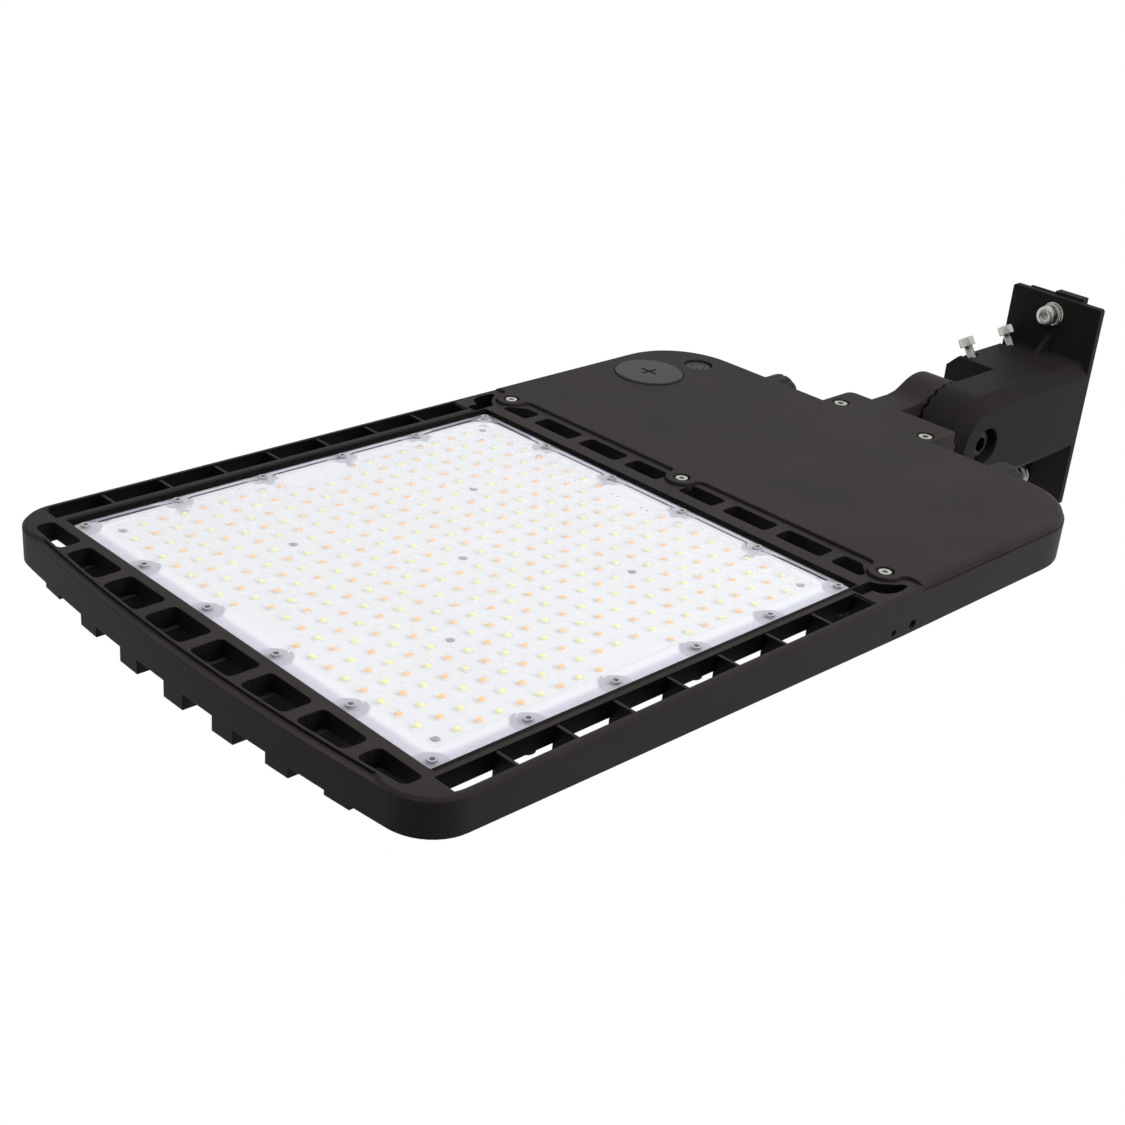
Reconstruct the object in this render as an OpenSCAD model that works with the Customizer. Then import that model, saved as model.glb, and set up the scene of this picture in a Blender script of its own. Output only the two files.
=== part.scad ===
// Pole-mounted street light head with a square LED array, driver box and tilting arm.
// The lens faces -Z, the pole plate is square to +Y, and the origin is the pole socket's mouth.

/* [Head casting] */
// Width of the head across the light
head_w = 324; // [323:0.5:328]
// Distance from the pole plate to the middle of the bowed front edge
head_front = 710.4; // [709:0.2:714]
// Distance from the pole plate to the back wall of the driver box
head_back = 207.6; // [206.6:0.2:208.6]
// Radius of the bowed front edge
bow_r = 1300; // [1200:50:1500]
// Radius of the two front corners in plan
front_corner_r = 24; // [20:1:26]
// Radius of the two back corners in plan
back_corner_r = 47; // [40:1:50]
// Thickness of the side walls
side_wall = 3.5; // [3:0.1:4]
// Thickness of the front wall
front_wall = 5.8; // [5:0.1:6.5]
// Width of the bevel along the lower outer edge
edge_r = 1.6; // [1:0.2:2]
// Thickness of the plate that carries the LED board
deck_t = 2.1; // [1.8:0.1:2.6]
// Width of the narrow bars between the see-through windows
bar_w = 7; // [6:0.5:8]
// Thickness of the cross ribs in the side openings
rib_t = 1.8; // [1.5:0.1:2.5]
// Thickness of each cooling fin
fin_t = 2.5; // [2:0.1:3]
// Height of the driver box above the arm's axis
box_top = 17; // [15:0.5:18]

/* [LED array and lens] */
// Distance from the pole plate to the middle of the array
array_reach = 541.2; // [540.8:0.1:541.6]
// Spacing of the LEDs both ways
led_pitch = 12; // [11.9:0.05:12]
// Width of one LED package
led_w = 3; // [2.6:0.1:3.5]
// Height of one LED package
led_h = 0.7; // [0.5:0.05:0.8]
// Thickness of the aluminium-cored board
board_t = 1.6; // [1.2:0.1:1.8]
// Thickness of the clear lens plate
lens_t = 2.3; // [1.8:0.1:2.5]
// Least width of the open cells beside the array
cell_least = 12.5; // [12:0.1:13]
// Least room between the array and the middle of the front edge
front_least = 22; // [20:0.5:23]

/* [Driver box cover] */
// Thickness of the cover
cover_t = 2.4; // [2:0.1:2.6]
// Height of the cover's outer skirt
cover_h = 4.8; // [4.6:0.1:5.2]
// Radius of the cover's outer edge
cover_edge_r = 4; // [3:0.5:4.5]
// Radius of the lobes round the cover screws
lobe_r = 9; // [8.5:0.1:9.5]
// Radius of the round access cap
cap_r = 21.9; // [20:0.1:22.5]
// Thickness of the access cap's disc
cap_t = 1.8; // [1.5:0.1:2]
// Arm length of the plus mark in the cap
cap_mark = 13; // [10:1:16]

/* [Knuckle and arm] */
// Distance from the pole plate to the tilt axis
pivot_reach = 121; // [120:0.5:122]
// Radius of the knuckle's round end
knuckle_r = 32; // [31:0.5:32.5]
// Number of locking teeth in the knuckle
knuckle_teeth = 24; // [20:4:30]
// Depth of the locking teeth
tooth_h = 1.8; // [1.4:0.1:2]
// Half the arm's width
arm_half_w = 35; // [34.5:0.5:36]
// Half the arm's height
arm_half_h = 33; // [32.6:0.1:34]
// Radius of the pole socket, for a 60 mm spigot
socket_r = 30.5; // [30:0.1:30.6]
// Depth of the pole socket
socket_l = 68; // [67:0.5:68.5]
// Thickness of the pole plate
plate_t = 5; // [4.5:0.5:6]
// Height of the pole plate
plate_h = 144; // [142:1:150]
// Spacing of the two plate bolts
bolt_gap = 120; // [118:1:122]

/* [Hidden] */
$fa = 5;
$fs = 0.5;
e = 0.01;
// radial play of a shaft in its hole
play = 0.05;
cast_col = [0.24, 0.225, 0.22];
dark_col = [0.15, 0.14, 0.14];
zinc_col = [0.72, 0.72, 0.70];

// array frame
array_y = -array_reach;
p = led_pitch;
// as many rows each side of the middle one as the head's width and front leave room for
room_x = head_w / 2 - side_wall - cell_least;
room_y = head_front - array_reach - front_least;
led_mid = floor(min(room_x, room_y) / p - 2.12);
led_n = 2 * led_mid + 1;
inner_spot = round(led_mid / 2);
board_half = (led_mid + 0.5) * p;
pocket_half = board_half + 0.5;
lens_half = snap((led_mid + 1.55) * p);
rim_in = snap((led_mid + 1.65) * p);
rim_out = snap((led_mid + 2.1) * p);
screw_span = snap((led_mid + 1.1) * p);
bar_gap = snap((led_mid + 2.4) / 4 * p);
window_out = snap((led_mid + 1.9) * p);

// levels, lens side down
face_z = -27;
seat_z = -22.9;
floor_z = -20;
deck_back = floor_z + deck_t;
wall_top_front = -8;
wall_top = -2.6;
cover_seat_z = -24;
cover_face_z = cover_seat_z - cover_h;
roof_t = 3;

// openings
deck_front = snap(array_y - (led_mid + 2.12) * p);
rear_bar = snap(array_y + (led_mid + 2.35) * p);
window_end = snap(array_y + (led_mid + 3.45) * p);
cover_front = snap(array_y + (led_mid + 3.88) * p);
bow_y = bow_r - head_front;
cell_in = rim_out;
cell_out = head_w / 2 - side_wall;
rib_gap = snap((2 * led_mid - 0.05) / 7 * p);
rib_first = snap(array_y - (led_mid - 0.95) * p);
// a width that reaches past both sides of the head
across = head_w + 76;

// driver box
cover_inset = 0.6;
tongue_x = 45;
cap_recess = 1.6;
bulge_half = head_w / 2 - 44;
box_in = 3;
ledge_w = 7;
ledge_h = 3;
groove_a = 2.2;
groove_b = 4.8;
groove_d = 1.2;
lobe_x = snap((led_mid + 1.725) * p);
lobe_fillet = 4;
cap_x = head_w / 2 - 35.2;
cap_y = -272.8;
vent_x = head_w / 2 - 42;
vent_y = -232.8;
neck_r = 17.9;
cup_r = 24;
gland_x = head_w / 2 - 74;
gland_z = -8;
gland_r = 10;
driver_y = snap(window_end + box_in + 40.8);
driver_left = box_in + 3 - bulge_half;
driver_right = bulge_half - box_in - 13;
driver_half = 30;
driver_tab = 16;
surge_x = driver_right - 30;
surge_y = -head_back - 49.4;
terminal_y = -head_back - 43.4;
lead_z = -8;
lead_r = 2.6;
lead_y = snap(array_y + board_half - 20.8);

// knuckle
base_half = 42;
base_t = 7;
base_z = -22.8;
base_back = 169.4;
base_screw_x = 33;
base_screw_y = 16.2 - head_back;
tooth_gap = 0.3;
pivot_y = -pivot_reach;
pin_r = 6;
cheek_r = 12.5;

// arm
arm_split = 72;
clamp_tilt = 34.7;
clamp_front_y = -62.4;
clamp_rear_y = -14.4;
clamp_r = 3;
clamp_seat = 39;
m8_r = 4;

// rounds a position to an even tenth, so that halves stay whole tenths
function snap(v) = round(v * 5) / 5;
function rib_y(k) = rib_first + rib_gap * k;
function fin_top(k) = -0.65 * k * k;
function lens_screw_at(k) = screw_span * (k * 0.4 - 1);
function led_here(i, j) =
  !(abs(i - led_mid) == led_mid && abs(j - led_mid) == led_mid) &&
  !(abs(i - led_mid) == led_mid && abs(j - led_mid) <= 1) &&
  !(abs(j - led_mid) == led_mid && abs(i - led_mid) <= 1) &&
  !(abs(i - led_mid) == inner_spot && abs(j - led_mid) == inner_spot) &&
  !(i == led_mid && j == led_mid);

// plan of the head: straight sides, bowed front, four corner arcs
module head_plan(side = 0, front = 0) {
  w = head_w / 2 - side;
  r1 = front_corner_r - (side + front) / 2;
  r2 = back_corner_r - side;
  br = bow_r - front;
  cx = w - r1;
  cy = bow_y - sqrt((br - r1) * (br - r1) - cx * cx);
  tx = cx * br / (br - r1);
  y2 = -head_back - back_corner_r;
  translate([-w, cy]) square([2 * w, y2 - cy]);
  for (s = [-1, 1]) {
    translate([s * cx, cy]) circle(r1);
    translate([s * (w - r2), y2]) circle(r2);
  }
  intersection() {
    translate([-tx, -head_front - 5]) square([2 * tx, cy + head_front + 6]);
    translate([0, bow_y]) circle(br, $fn = 1080);
  }
  translate([-w + r2, y2 - 1]) square([2 * (w - r2), back_corner_r + 1 - side]);
}

// everything in plan behind a line across the head
module behind(y) {
  translate([-across / 2, y]) square([across, -y]);
}

// plan of the driver box behind the cover's front seam
module box_plan(inset = 0, front = 0) {
  intersection() {
    head_plan(inset, 0);
    behind(cover_front + front);
  }
}

module prism(z0, z1) {
  translate([0, 0, z0]) linear_extrude(z1 - z0) children();
}

// a block from its two corners
module block(a, b) {
  translate(a) cube([b[0] - a[0], b[1] - a[1], b[2] - a[2]]);
}

// profile in Y and Z pushed along X
module side_prism(x0, x1) {
  translate([x0, 0, 0]) rotate([90, 0, 90]) linear_extrude(x1 - x0) children();
}

module rod_y(r, y0, y1) {
  translate([0, y0, 0]) rotate([-90, 0, 0]) cylinder(r = r, h = y1 - y0);
}

module rod_x(r, x0, x1) {
  translate([x0, 0, 0]) rotate([0, 90, 0]) cylinder(r = r, h = x1 - x0);
}

// rectangle with four round corners, centred
module round_rect(w, h, r) {
  square([w - 2 * r, h], center = true);
  square([w, h - 2 * r], center = true);
  for (sx = [-1, 1], sy = [-1, 1])
    translate([sx * (w / 2 - r), sy * (h / 2 - r)]) circle(r);
}

// hexagon by its width across flats
module hex(af) {
  circle(r = af / sqrt(3), $fn = 6);
}

// one bevelled layer of the head's outline, narrower by ia below and by ib above
module bevel_layer(ia, ib, za, zb) {
  r1 = front_corner_r;
  w = head_w / 2;
  cx = w - r1;
  cy = bow_y - sqrt((bow_r - r1) * (bow_r - r1) - cx * cx);
  tx = cx * bow_r / (bow_r - r1);
  y2 = -head_back - back_corner_r;
  translate([0, y2, 0]) rotate([90, 0, 0]) linear_extrude(y2 - cy)
    polygon([[-w + ia, za], [w - ia, za], [w - ib, zb], [-w + ib, zb]]);
  for (s = [-1, 1])
    translate([s * cx, cy, za]) cylinder(r1 = r1 - ia, r2 = r1 - ib, h = zb - za);
  intersection() {
    block([-tx, -head_front - 5, za - 1], [tx, cy + 1, zb + 1]);
    translate([0, bow_y, za]) cylinder(r1 = bow_r - ia, r2 = bow_r - ib, h = zb - za, $fn = 1080);
  }
}

// outer body of the head, its lower edge bevelled
module head_shell() {
  prism(face_z + edge_r, wall_top) head_plan();
  bevel_layer(edge_r, 0, face_z, face_z + edge_r);
}

// one see-through window in the front bar, its outer side along the bow
module front_window(x0, x1) {
  xm = (x0 + x1) / 2;
  r = 3;
  a = asin(xm / bow_r);
  yo = snap(bow_y - (bow_r - front_wall) * cos(a));
  w = x1 - x0;
  translate([xm, (yo + 2 + deck_front) / 2]) round_rect(w, deck_front - yo - 2, r);
  translate([xm, yo]) rotate(a) translate([0, 4.5]) round_rect(w - 0.2, 9, r);
}

module front_windows() {
  for (m = [0, 1]) mirror([m, 0]) {
    for (k = [0:2]) front_window(k * bar_gap + bar_w / 2, (k + 1) * bar_gap - bar_w / 2);
    front_window(3 * bar_gap + bar_w / 2, window_out);
  }
}

// rear window next to the cover, the end ones with a cut corner
module rear_window(x0, x1, end = false) {
  h = window_end - rear_bar - 0.6;
  difference() {
    translate([(x0 + x1) / 2, rear_bar + 0.6 + h / 2]) round_rect(x1 - x0, h, 2.5);
    if (end)
      translate([x1 + 1, window_end + 2]) rotate(45) square([16, 16], center = true);
  }
}

// curved opening that passes round the cover's corner lobe
module corner_opening() {
  rib = rib_y(7) + rib_t / 2 + 0.6;
  function spot(u, v) = [(led_mid + u) * p, array_y + (led_mid + v) * p];
  polygon([[spot(1.78, 0)[0], rib], spot(1.78, 2.29), spot(2.18, 2.5), spot(2.6, 2.95),
           spot(2.82, 3.3), spot(3.03, 3.35), spot(3.13, 2.9), spot(3.12, 2.4),
           spot(2.95, 2), spot(2.7, 1.78), spot(2.39, 1.7), [spot(2.37, 0)[0], rib]]);
}

// lobe of the cover with the small hollow fillets at its neck
module lobe(grow = 0) {
  fy = cover_front - lobe_fillet - window_end;
  fr = lobe_fillet - grow;
  fx = sqrt((lobe_r + lobe_fillet) * (lobe_r + lobe_fillet) - fy * fy);
  translate([0, window_end]) {
    circle(lobe_r + grow);
    difference() {
      translate([-fx, fy]) square([2 * fx, lobe_fillet + 1]);
      for (s = [-1, 1]) translate([s * fx, fy]) circle(fr);
    }
  }
}

module lobes(grow = 0) {
  for (x = [-lobe_x, 0, lobe_x]) translate([x, 0]) lobe(grow);
}

// positions of the screws round the lens edge
module lens_screw_ring() {
  for (i = [0:5], j = [0:5])
    if (i == 0 || i == 5 || j == 0 || j == 5)
      translate([lens_screw_at(i), array_y + lens_screw_at(j), 0]) children();
}

// positions of the screws that hold the board
module board_screw_spots() {
  translate([0, array_y, 0]) children();
  for (k = [inner_spot, led_mid], sy = [-1, 1], sx = [-1, 1])
    translate([sx * k * p, array_y + sy * k * p, 0]) children();
}

// positions of the two screws that hold the driver
module driver_spots() {
  for (x = [driver_left + driver_tab / 2, driver_right - driver_tab / 2])
    translate([x, driver_y, 0]) children();
}

module square_ring(a, b, z0, z1) {
  translate([0, array_y, 0]) prism(z0, z1) difference() {
    square(2 * b, center = true);
    square(2 * a, center = true);
  }
}

module box_outer() {
  prism(cover_seat_z, wall_top) intersection() {
    head_plan();
    behind(window_end);
  }
  prism(wall_top - 1, box_top) translate([0, (window_end - head_back) / 2])
    round_rect(2 * bulge_half, -head_back - window_end, 10);
}

module box_inner() {
  prism(cover_seat_z - 1, cover_seat_z + ledge_h + 0.5) box_plan(ledge_w, ledge_w);
  prism(cover_seat_z + ledge_h, wall_top - roof_t) intersection() {
    head_plan(side_wall + 0.5, 0);
    behind(window_end + box_in);
  }
  prism(wall_top - roof_t - 1, box_top - roof_t)
    translate([0, (window_end + box_in - head_back - 4) / 2])
      round_rect(2 * (bulge_half - box_in), -head_back - 4 - window_end - box_in, 7);
}

module fins() {
  for (k = [-3:3]) {
    x = k * bar_gap;
    top = fin_top(k);
    intersection() {
      prism(deck_back - 1, top) head_plan();
      union() {
        block([x - 7.5, -head_front - 2, deck_back - 1], [x + 7.5, deck_front - 7.5, top]);
        for (s = [-1, 1])
          block([x + s * 6.25 - fin_t / 2, deck_front - 8, deck_back - 1],
                [x + s * 6.25 + fin_t / 2, window_end + 1, top]);
      }
    }
  }
}

module housing() {
  color(cast_col) difference() {
    union() {
      // perimeter walls, lower at the front
      difference() {
        head_shell();
        prism(face_z - 1, 10) head_plan(side_wall, front_wall);
        side_prism(-across / 2, across / 2)
          polygon([[-head_front - 19.6, wall_top_front - 0.6], [window_end - 5, wall_top],
                   [window_end - 5, 20], [-head_front - 19.6, 20]]);
      }
      // lens rim, seat and deck
      square_ring(rim_in, rim_out, face_z, floor_z + 0.5);
      square_ring(pocket_half, rim_in + 0.5, seat_z, floor_z + 0.5);
      block([-rim_out, deck_front - 2, floor_z], [rim_out, window_end + 1, deck_back]);
      // front bar and the closed front corners
      difference() {
        prism(face_z, deck_back) intersection() {
          head_plan(side_wall - 0.2, front_wall - 1.5);
          translate([-across / 2, -head_front]) square([across, deck_front + head_front + 3]);
        }
        translate([0, array_y, 0]) prism(face_z - 1, floor_z) square(2 * rim_in, center = true);
      }
      // rear bar
      difference() {
        prism(face_z, deck_back) intersection() {
          head_plan(side_wall - 0.2, 0);
          translate([-across / 2, rib_y(7)]) square([across, cover_front - 0.3 - rib_y(7)]);
        }
        translate([0, array_y, 0]) prism(face_z - 1, floor_z) square(2 * rim_in, center = true);
      }
      for (k = [0:7], s = [-1, 1])
        block([s > 0 ? cell_in - 1 : -cell_out - 1, rib_y(k) - rib_t / 2, face_z + 0.8],
              [s > 0 ? cell_out + 1 : -cell_in + 1, rib_y(k) + rib_t / 2, wall_top_front - 2]);
      fins();
      box_outer();
      // bosses for the lens screws and the board screws
      lens_screw_ring() translate([0, 0, deck_back - 1]) cylinder(r = 4.5, h = 9);
      board_screw_spots() translate([0, 0, deck_back - 1]) cylinder(r = 3.6, h = 6);
      // bosses for the cover screws
      for (x = [-lobe_x, 0, lobe_x]) translate([x, window_end, cover_seat_z]) cylinder(r = 7, h = 11.5);
      // closed tunnel for the LED lead
      block([-7, lead_y - 8, deck_back - 1], [7, window_end + 1, lead_z + 6]);
      // shelf for the knuckle base
      block([-base_half, -head_back - 1, base_z + base_t], [base_half, -base_back - 1, -2]);
      for (s = [-1, 1])
        side_prism(s * base_half - (s > 0 ? 4 : 0), s * base_half + (s > 0 ? 0 : 4))
          polygon([[-head_back - 1, -3], [-base_back - 1, -3], [-head_back - 1, 14]]);
    }
    // driver box space
    box_inner();
    // windows and corner openings pass right through
    prism(face_z - 1, deck_back) front_windows();
    prism(face_z - 1, deck_back + 1) for (m = [0, 1]) mirror([m, 0]) {
      rear_window(snap(0.7 * p), bar_gap - bar_w / 2);
      rear_window(bar_gap + bar_w / 2, 2 * bar_gap - bar_w / 2);
      rear_window(2 * bar_gap + bar_w / 2, 3 * bar_gap - bar_w / 2);
      rear_window(3 * bar_gap + bar_w / 2, snap((led_mid + 1.24) * p), true);
    }
    prism(face_z - 1, wall_top_front) {
      corner_opening();
      mirror([1, 0]) corner_opening();
    }
    // recess for the cover lobes and its edge
    prism(face_z - 1, cover_seat_z) {
      lobes(0.4);
      behind(cover_front - 0.3);
    }
    // gasket grooves
    prism(cover_seat_z - 1, cover_seat_z + groove_d) difference() {
      box_plan(groove_a, groove_a);
      box_plan(groove_b, groove_b);
    }
    square_ring(pocket_half + 1.1, pocket_half + 4.1, seat_z - 1, seat_z + 1.4);
    // threaded holes
    lens_screw_ring() translate([0, 0, seat_z - 1]) cylinder(r = 1.5 + play, h = 11);
    board_screw_spots() translate([0, 0, floor_z - 1]) cylinder(r = 1.5 + play, h = 6.5);
    for (x = [-lobe_x, 0, lobe_x])
      translate([x, window_end, cover_seat_z - 1]) cylinder(r = 2 + play, h = 10.5);
    for (s = [-1, 1]) {
      translate([s * base_screw_x, base_screw_y, -20]) cylinder(r = 2.5 + play, h = 16);
      translate([s * gland_x, 0, gland_z]) rod_y(gland_r + play, -head_back - 8, -head_back + 2);
      translate([s * (head_w / 2), array_y + (led_mid + 2.14) * p, -6.9]) rotate([0, 90, 0])
        cylinder(r = 2, h = 20, center = true);
      translate([s * (head_w / 2), array_y + (led_mid + 3.47) * p, -6.9]) rotate([0, 90, 0])
        cylinder(r = 2.7, h = 8, center = true);
    }
    // lead tunnel
    translate([0, 0, lead_z]) rod_y(3.2, lead_y - 2, window_end + box_in + 5);
    translate([0, lead_y, floor_z - 1]) cylinder(r = 3.2, h = lead_z - floor_z + 2);
    // driver screw, terminal and earth holes
    driver_spots() translate([0, 0, box_top - roof_t - 5]) cylinder(r = 2 + play, h = 6.5);
    translate([20, -246, box_top - roof_t - 1]) cylinder(r = 2 + play, h = 2.6);
  }
  // raised pads that the driver stands on
  color(cast_col) driver_spots()
    translate([0, 0, box_top - roof_t - 4]) difference() {
      translate([0, 0, 2 + e]) cube([12, 40, 4], center = true);
      translate([0, 0, -1]) cylinder(r = 2 + play, h = 6);
    }
}

// one bevelled layer of the cover, its front side straight
module cover_layer(ia, ib, za, zb) {
  w = head_w / 2 - cover_inset;
  r2 = back_corner_r - cover_inset;
  y2 = -head_back - back_corner_r;
  translate([0, y2, 0]) rotate([90, 0, 0]) linear_extrude(y2 - cover_front)
    polygon([[-w + ia, za], [w - ia, za], [w - ib, zb], [-w + ib, zb]]);
  for (s = [-1, 1])
    translate([s * (w - r2), y2, za]) cylinder(r1 = r2 - ia, r2 = r2 - ib, h = zb - za);
  side_prism(-w + r2, w - r2)
    polygon([[y2 - 1, za], [y2 + r2 - ia, za], [y2 + r2 - ib, zb], [y2 - 1, zb]]);
}

module driver_cover() {
  k = snap(cover_edge_r * (1 - sqrt(0.5)));
  color(cast_col) difference() {
    union() {
      cover_layer(cover_edge_r, k, cover_face_z, cover_face_z + k);
      cover_layer(k, 0, cover_face_z + k, cover_face_z + cover_edge_r);
      cover_layer(0, 0, cover_face_z + cover_edge_r, cover_seat_z);
      prism(cover_face_z, cover_seat_z) lobes();
    }
    // hollow inside, clear of the pads round the cap and the vent
    difference() {
      prism(cover_face_z + cover_t, cover_seat_z + 1) box_plan(ledge_w + 0.6, ledge_w + 0.6);
      translate([cap_x, cap_y, -40]) cylinder(r = cup_r + 2, h = 30);
      translate([vent_x, vent_y, -40]) cylinder(r = 12.5, h = 30);
      for (x = [-tongue_x, tongue_x])
        block([x - 10, -head_back - ledge_w - 6, cover_face_z], [x + 10, -head_back, 0]);
    }
    cover_holes();
  }
  // the pads reach deeper than the rim
  color(cast_col) difference() {
    union() {
      translate([cap_x, cap_y, cover_seat_z - e]) cylinder(r = cup_r + 2, h = 3);
      translate([vent_x, vent_y, cover_seat_z - e]) cylinder(r = 12.5, h = 3);
      // tongues that hook behind the back ledge
      for (x = [-tongue_x, tongue_x]) {
        block([x - 10, -head_back - ledge_w - 5, cover_seat_z - e],
              [x + 10, -head_back - ledge_w - 0.6, cover_seat_z + ledge_h + 3]);
        block([x - 10, -head_back - ledge_w - 3, cover_seat_z + ledge_h + 0.2],
              [x + 10, -head_back - 4.8, cover_seat_z + ledge_h + 3]);
      }
    }
    cover_holes();
  }
}

module cover_holes() {
  // cover screw holes and counterbores
  for (x = [-lobe_x, 0, lobe_x]) translate([x, window_end, 0]) {
    translate([0, 0, -40]) cylinder(r = 2.2, h = 30);
    translate([0, 0, cover_face_z - 1]) cylinder(r = 5, h = 3.9);
  }
  // cap seat and neck bore
  translate([cap_x, cap_y, 0]) {
    translate([0, 0, cover_face_z - 1]) cylinder(r = cap_r + 0.6, h = 1 + cap_recess);
    translate([0, 0, -40]) cylinder(r = neck_r + 0.1, h = 30);
  }
  // vent recess and its threaded hole
  translate([vent_x, vent_y, 0]) {
    translate([0, 0, cover_face_z - 1]) cylinder(r = 9.25, h = 4.5);
    translate([0, 0, -40]) cylinder(r = 6 + play, h = 30);
  }
}

module cover_gasket() {
  color("black") prism(cover_seat_z, cover_seat_z + groove_d) difference() {
    box_plan(groove_a, groove_a);
    box_plan(groove_b, groove_b);
  }
}

// socket-head screw, head towards -Z, seat at z = 0
module cap_screw(r, head_r, head_h, l, af) {
  difference() {
    translate([0, 0, -head_h]) cylinder(r = head_r, h = head_h);
    translate([0, 0, -head_h - e]) linear_extrude(head_h * 0.55) hex(af);
  }
  translate([0, 0, -e]) cylinder(r = r, h = l + e);
}

module cover_screws() {
  color(zinc_col) for (x = [-lobe_x, 0, lobe_x])
    translate([x, window_end, cover_face_z + 2.9]) cap_screw(2, 3.5, 2.6, 10, 2.5);
}

module led_board() {
  color("white") difference() {
    translate([0, array_y, 0]) prism(floor_z - board_t, floor_z) round_rect(2 * board_half, 2 * board_half, 2);
    board_screw_spots() translate([0, 0, -30]) cylinder(r = 1.8, h = 20);
  }
}

module led_grid(odd) {
  for (i = [0:led_n - 1], j = [0:led_n - 1])
    if (led_here(i, j) && (i + j) % 2 == odd)
      translate([(i - led_mid) * p, array_y + (j - led_mid) * p, floor_z - board_t - led_h / 2])
        cube([led_w, led_w, led_h], center = true);
}

module leds_warm() {
  color([1, 0.75, 0.35]) led_grid(0);
}

module leds_cool() {
  color([0.95, 0.95, 0.55]) led_grid(1);
}

module board_screws() {
  color(zinc_col) board_screw_spots() translate([0, 0, floor_z - board_t])
    cap_screw(1.5, 2.4, 0.9, 5.5, 1.5);
}

module lens() {
  color([0.9, 0.93, 0.95, 0.4]) difference() {
    translate([0, array_y, 0]) prism(seat_z - lens_t, seat_z) round_rect(2 * lens_half, 2 * lens_half, 5);
    lens_screw_ring() translate([0, 0, -40]) cylinder(r = 1.7, h = 30);
  }
}

module lens_gasket() {
  color("white") square_ring(pocket_half + 1.1, pocket_half + 4.1, seat_z, seat_z + 1.4);
}

module lens_screws() {
  color(zinc_col) lens_screw_ring() translate([0, 0, seat_z - lens_t]) cap_screw(1.5, 2.9, 2, 10, 2);
}

module led_driver() {
  z1 = box_top - roof_t - 4;
  color("silver") difference() {
    union() {
      block([driver_left + driver_tab, driver_y - driver_half, z1 - 31],
            [driver_right - driver_tab, driver_y + driver_half, z1]);
      block([driver_left, driver_y - 22, z1 - 3], [driver_right, driver_y + 22, z1]);
    }
    driver_spots() translate([0, 0, z1 - 4]) cylinder(r = 2.2, h = 6);
    // cooling grooves along the case
    for (i = [-4:4])
      block([driver_left + driver_tab - 1, driver_y + i * 6 - 1, z1 - 32],
            [driver_right - driver_tab + 1, driver_y + i * 6 + 1, z1 - 29.8]);
  }
}

module driver_screws() {
  z1 = box_top - roof_t - 7;
  color(zinc_col) driver_spots() translate([0, 0, z1]) cap_screw(2, 3.5, 3, 8, 2.5);
}

module surge_protector() {
  z1 = box_top - roof_t;
  color("royalblue") difference() {
    union() {
      translate([surge_x, surge_y, 0]) prism(z1 - 24, z1) round_rect(46, 30, 3);
      translate([surge_x, surge_y, 0]) prism(z1 - 3, z1) round_rect(62, 18, 3);
    }
    for (s = [-1, 1]) translate([surge_x + s * 27, surge_y, z1 - 4]) cylinder(r = 1.6, h = 5);
  }
}

module terminal_block() {
  z1 = box_top - roof_t;
  color("white") difference() {
    block([-66, terminal_y - 11, z1 - 20], [-22, terminal_y + 11, z1]);
    for (i = [0:2]) translate([-57 + i * 13, terminal_y, z1 - 21]) cylinder(r = 2.6, h = 8);
    for (i = [0:2]) translate([-57 + i * 13, 0, z1 - 13]) rod_y(3, terminal_y - 12, terminal_y + 12);
  }
}

module earth_screw() {
  z1 = box_top - roof_t;
  color("green") translate([20, -246, z1]) cap_screw(2, 4, 3, 1.5, 2.5);
}

// lead from the driver through the tunnel to the back of the board
module output_lead() {
  b = 4;
  color("whitesmoke") {
    translate([0, 0, lead_z]) rod_y(lead_r, lead_y + 4, driver_y - driver_half);
    translate([0, lead_y + 4, lead_z - 4]) rotate([0, -90, 0]) rotate([0, 0, -90])
      rotate_extrude(angle = 90) translate([b, 0]) circle(lead_r);
    translate([0, lead_y, floor_z + 0.3]) cylinder(r = lead_r, h = lead_z - 4.3 - floor_z);
  }
}

// mains lead from the terminal block to the driver
module supply_lead() {
  z = box_top - roof_t - 13;
  color("whitesmoke") translate([-44, 0, z]) rod_y(2.4, driver_y + driver_half, terminal_y - 11);
}

// rubber seal where the LED lead enters the tunnel
module lead_grommet() {
  y = window_end + box_in;
  color("black") translate([0, 0, lead_z]) difference() {
    union() {
      rod_y(4.4, y, y + 2.4);
      rod_y(3.2 - play, y - 4, y + e);
    }
    rod_y(lead_r + play, y - 6, y + 4);
  }
}

// cup behind the access opening that holds the two setting switches
module selector_cup() {
  z0 = cover_face_z + 7.8;
  color("dimgray") translate([cap_x, cap_y, 0]) difference() {
    translate([0, 0, z0]) cylinder(r = cup_r, h = 14);
    translate([0, 0, z0 - e]) cylinder(r = cup_r - 2, h = 12 + e);
  }
}

module selector_board() {
  z = cover_face_z + 7.8 + 12;
  color("darkgreen") translate([cap_x, cap_y, z - 1.6]) difference() {
    cylinder(r = cup_r - 2.2, h = 1.6);
  }
  color("white") for (s = [-1, 1]) translate([cap_x, cap_y + s * 7, z - 1.6 - 2]) difference() {
    cube([16, 7, 4 - e], center = true);
    translate([0, 0, -1]) cube([12, 3.4, 3], center = true);
  }
}

module slider_knob(s) {
  z = cover_face_z + 7.8 + 12 - 1.6 - 2;
  translate([cap_x - 4, cap_y + s * 7, z - 1.6]) cube([3, 3, 3.4], center = true);
}

module power_slider() {
  color("red") slider_knob(-1);
}

module colour_slider() {
  color("orange") slider_knob(1);
}

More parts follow.
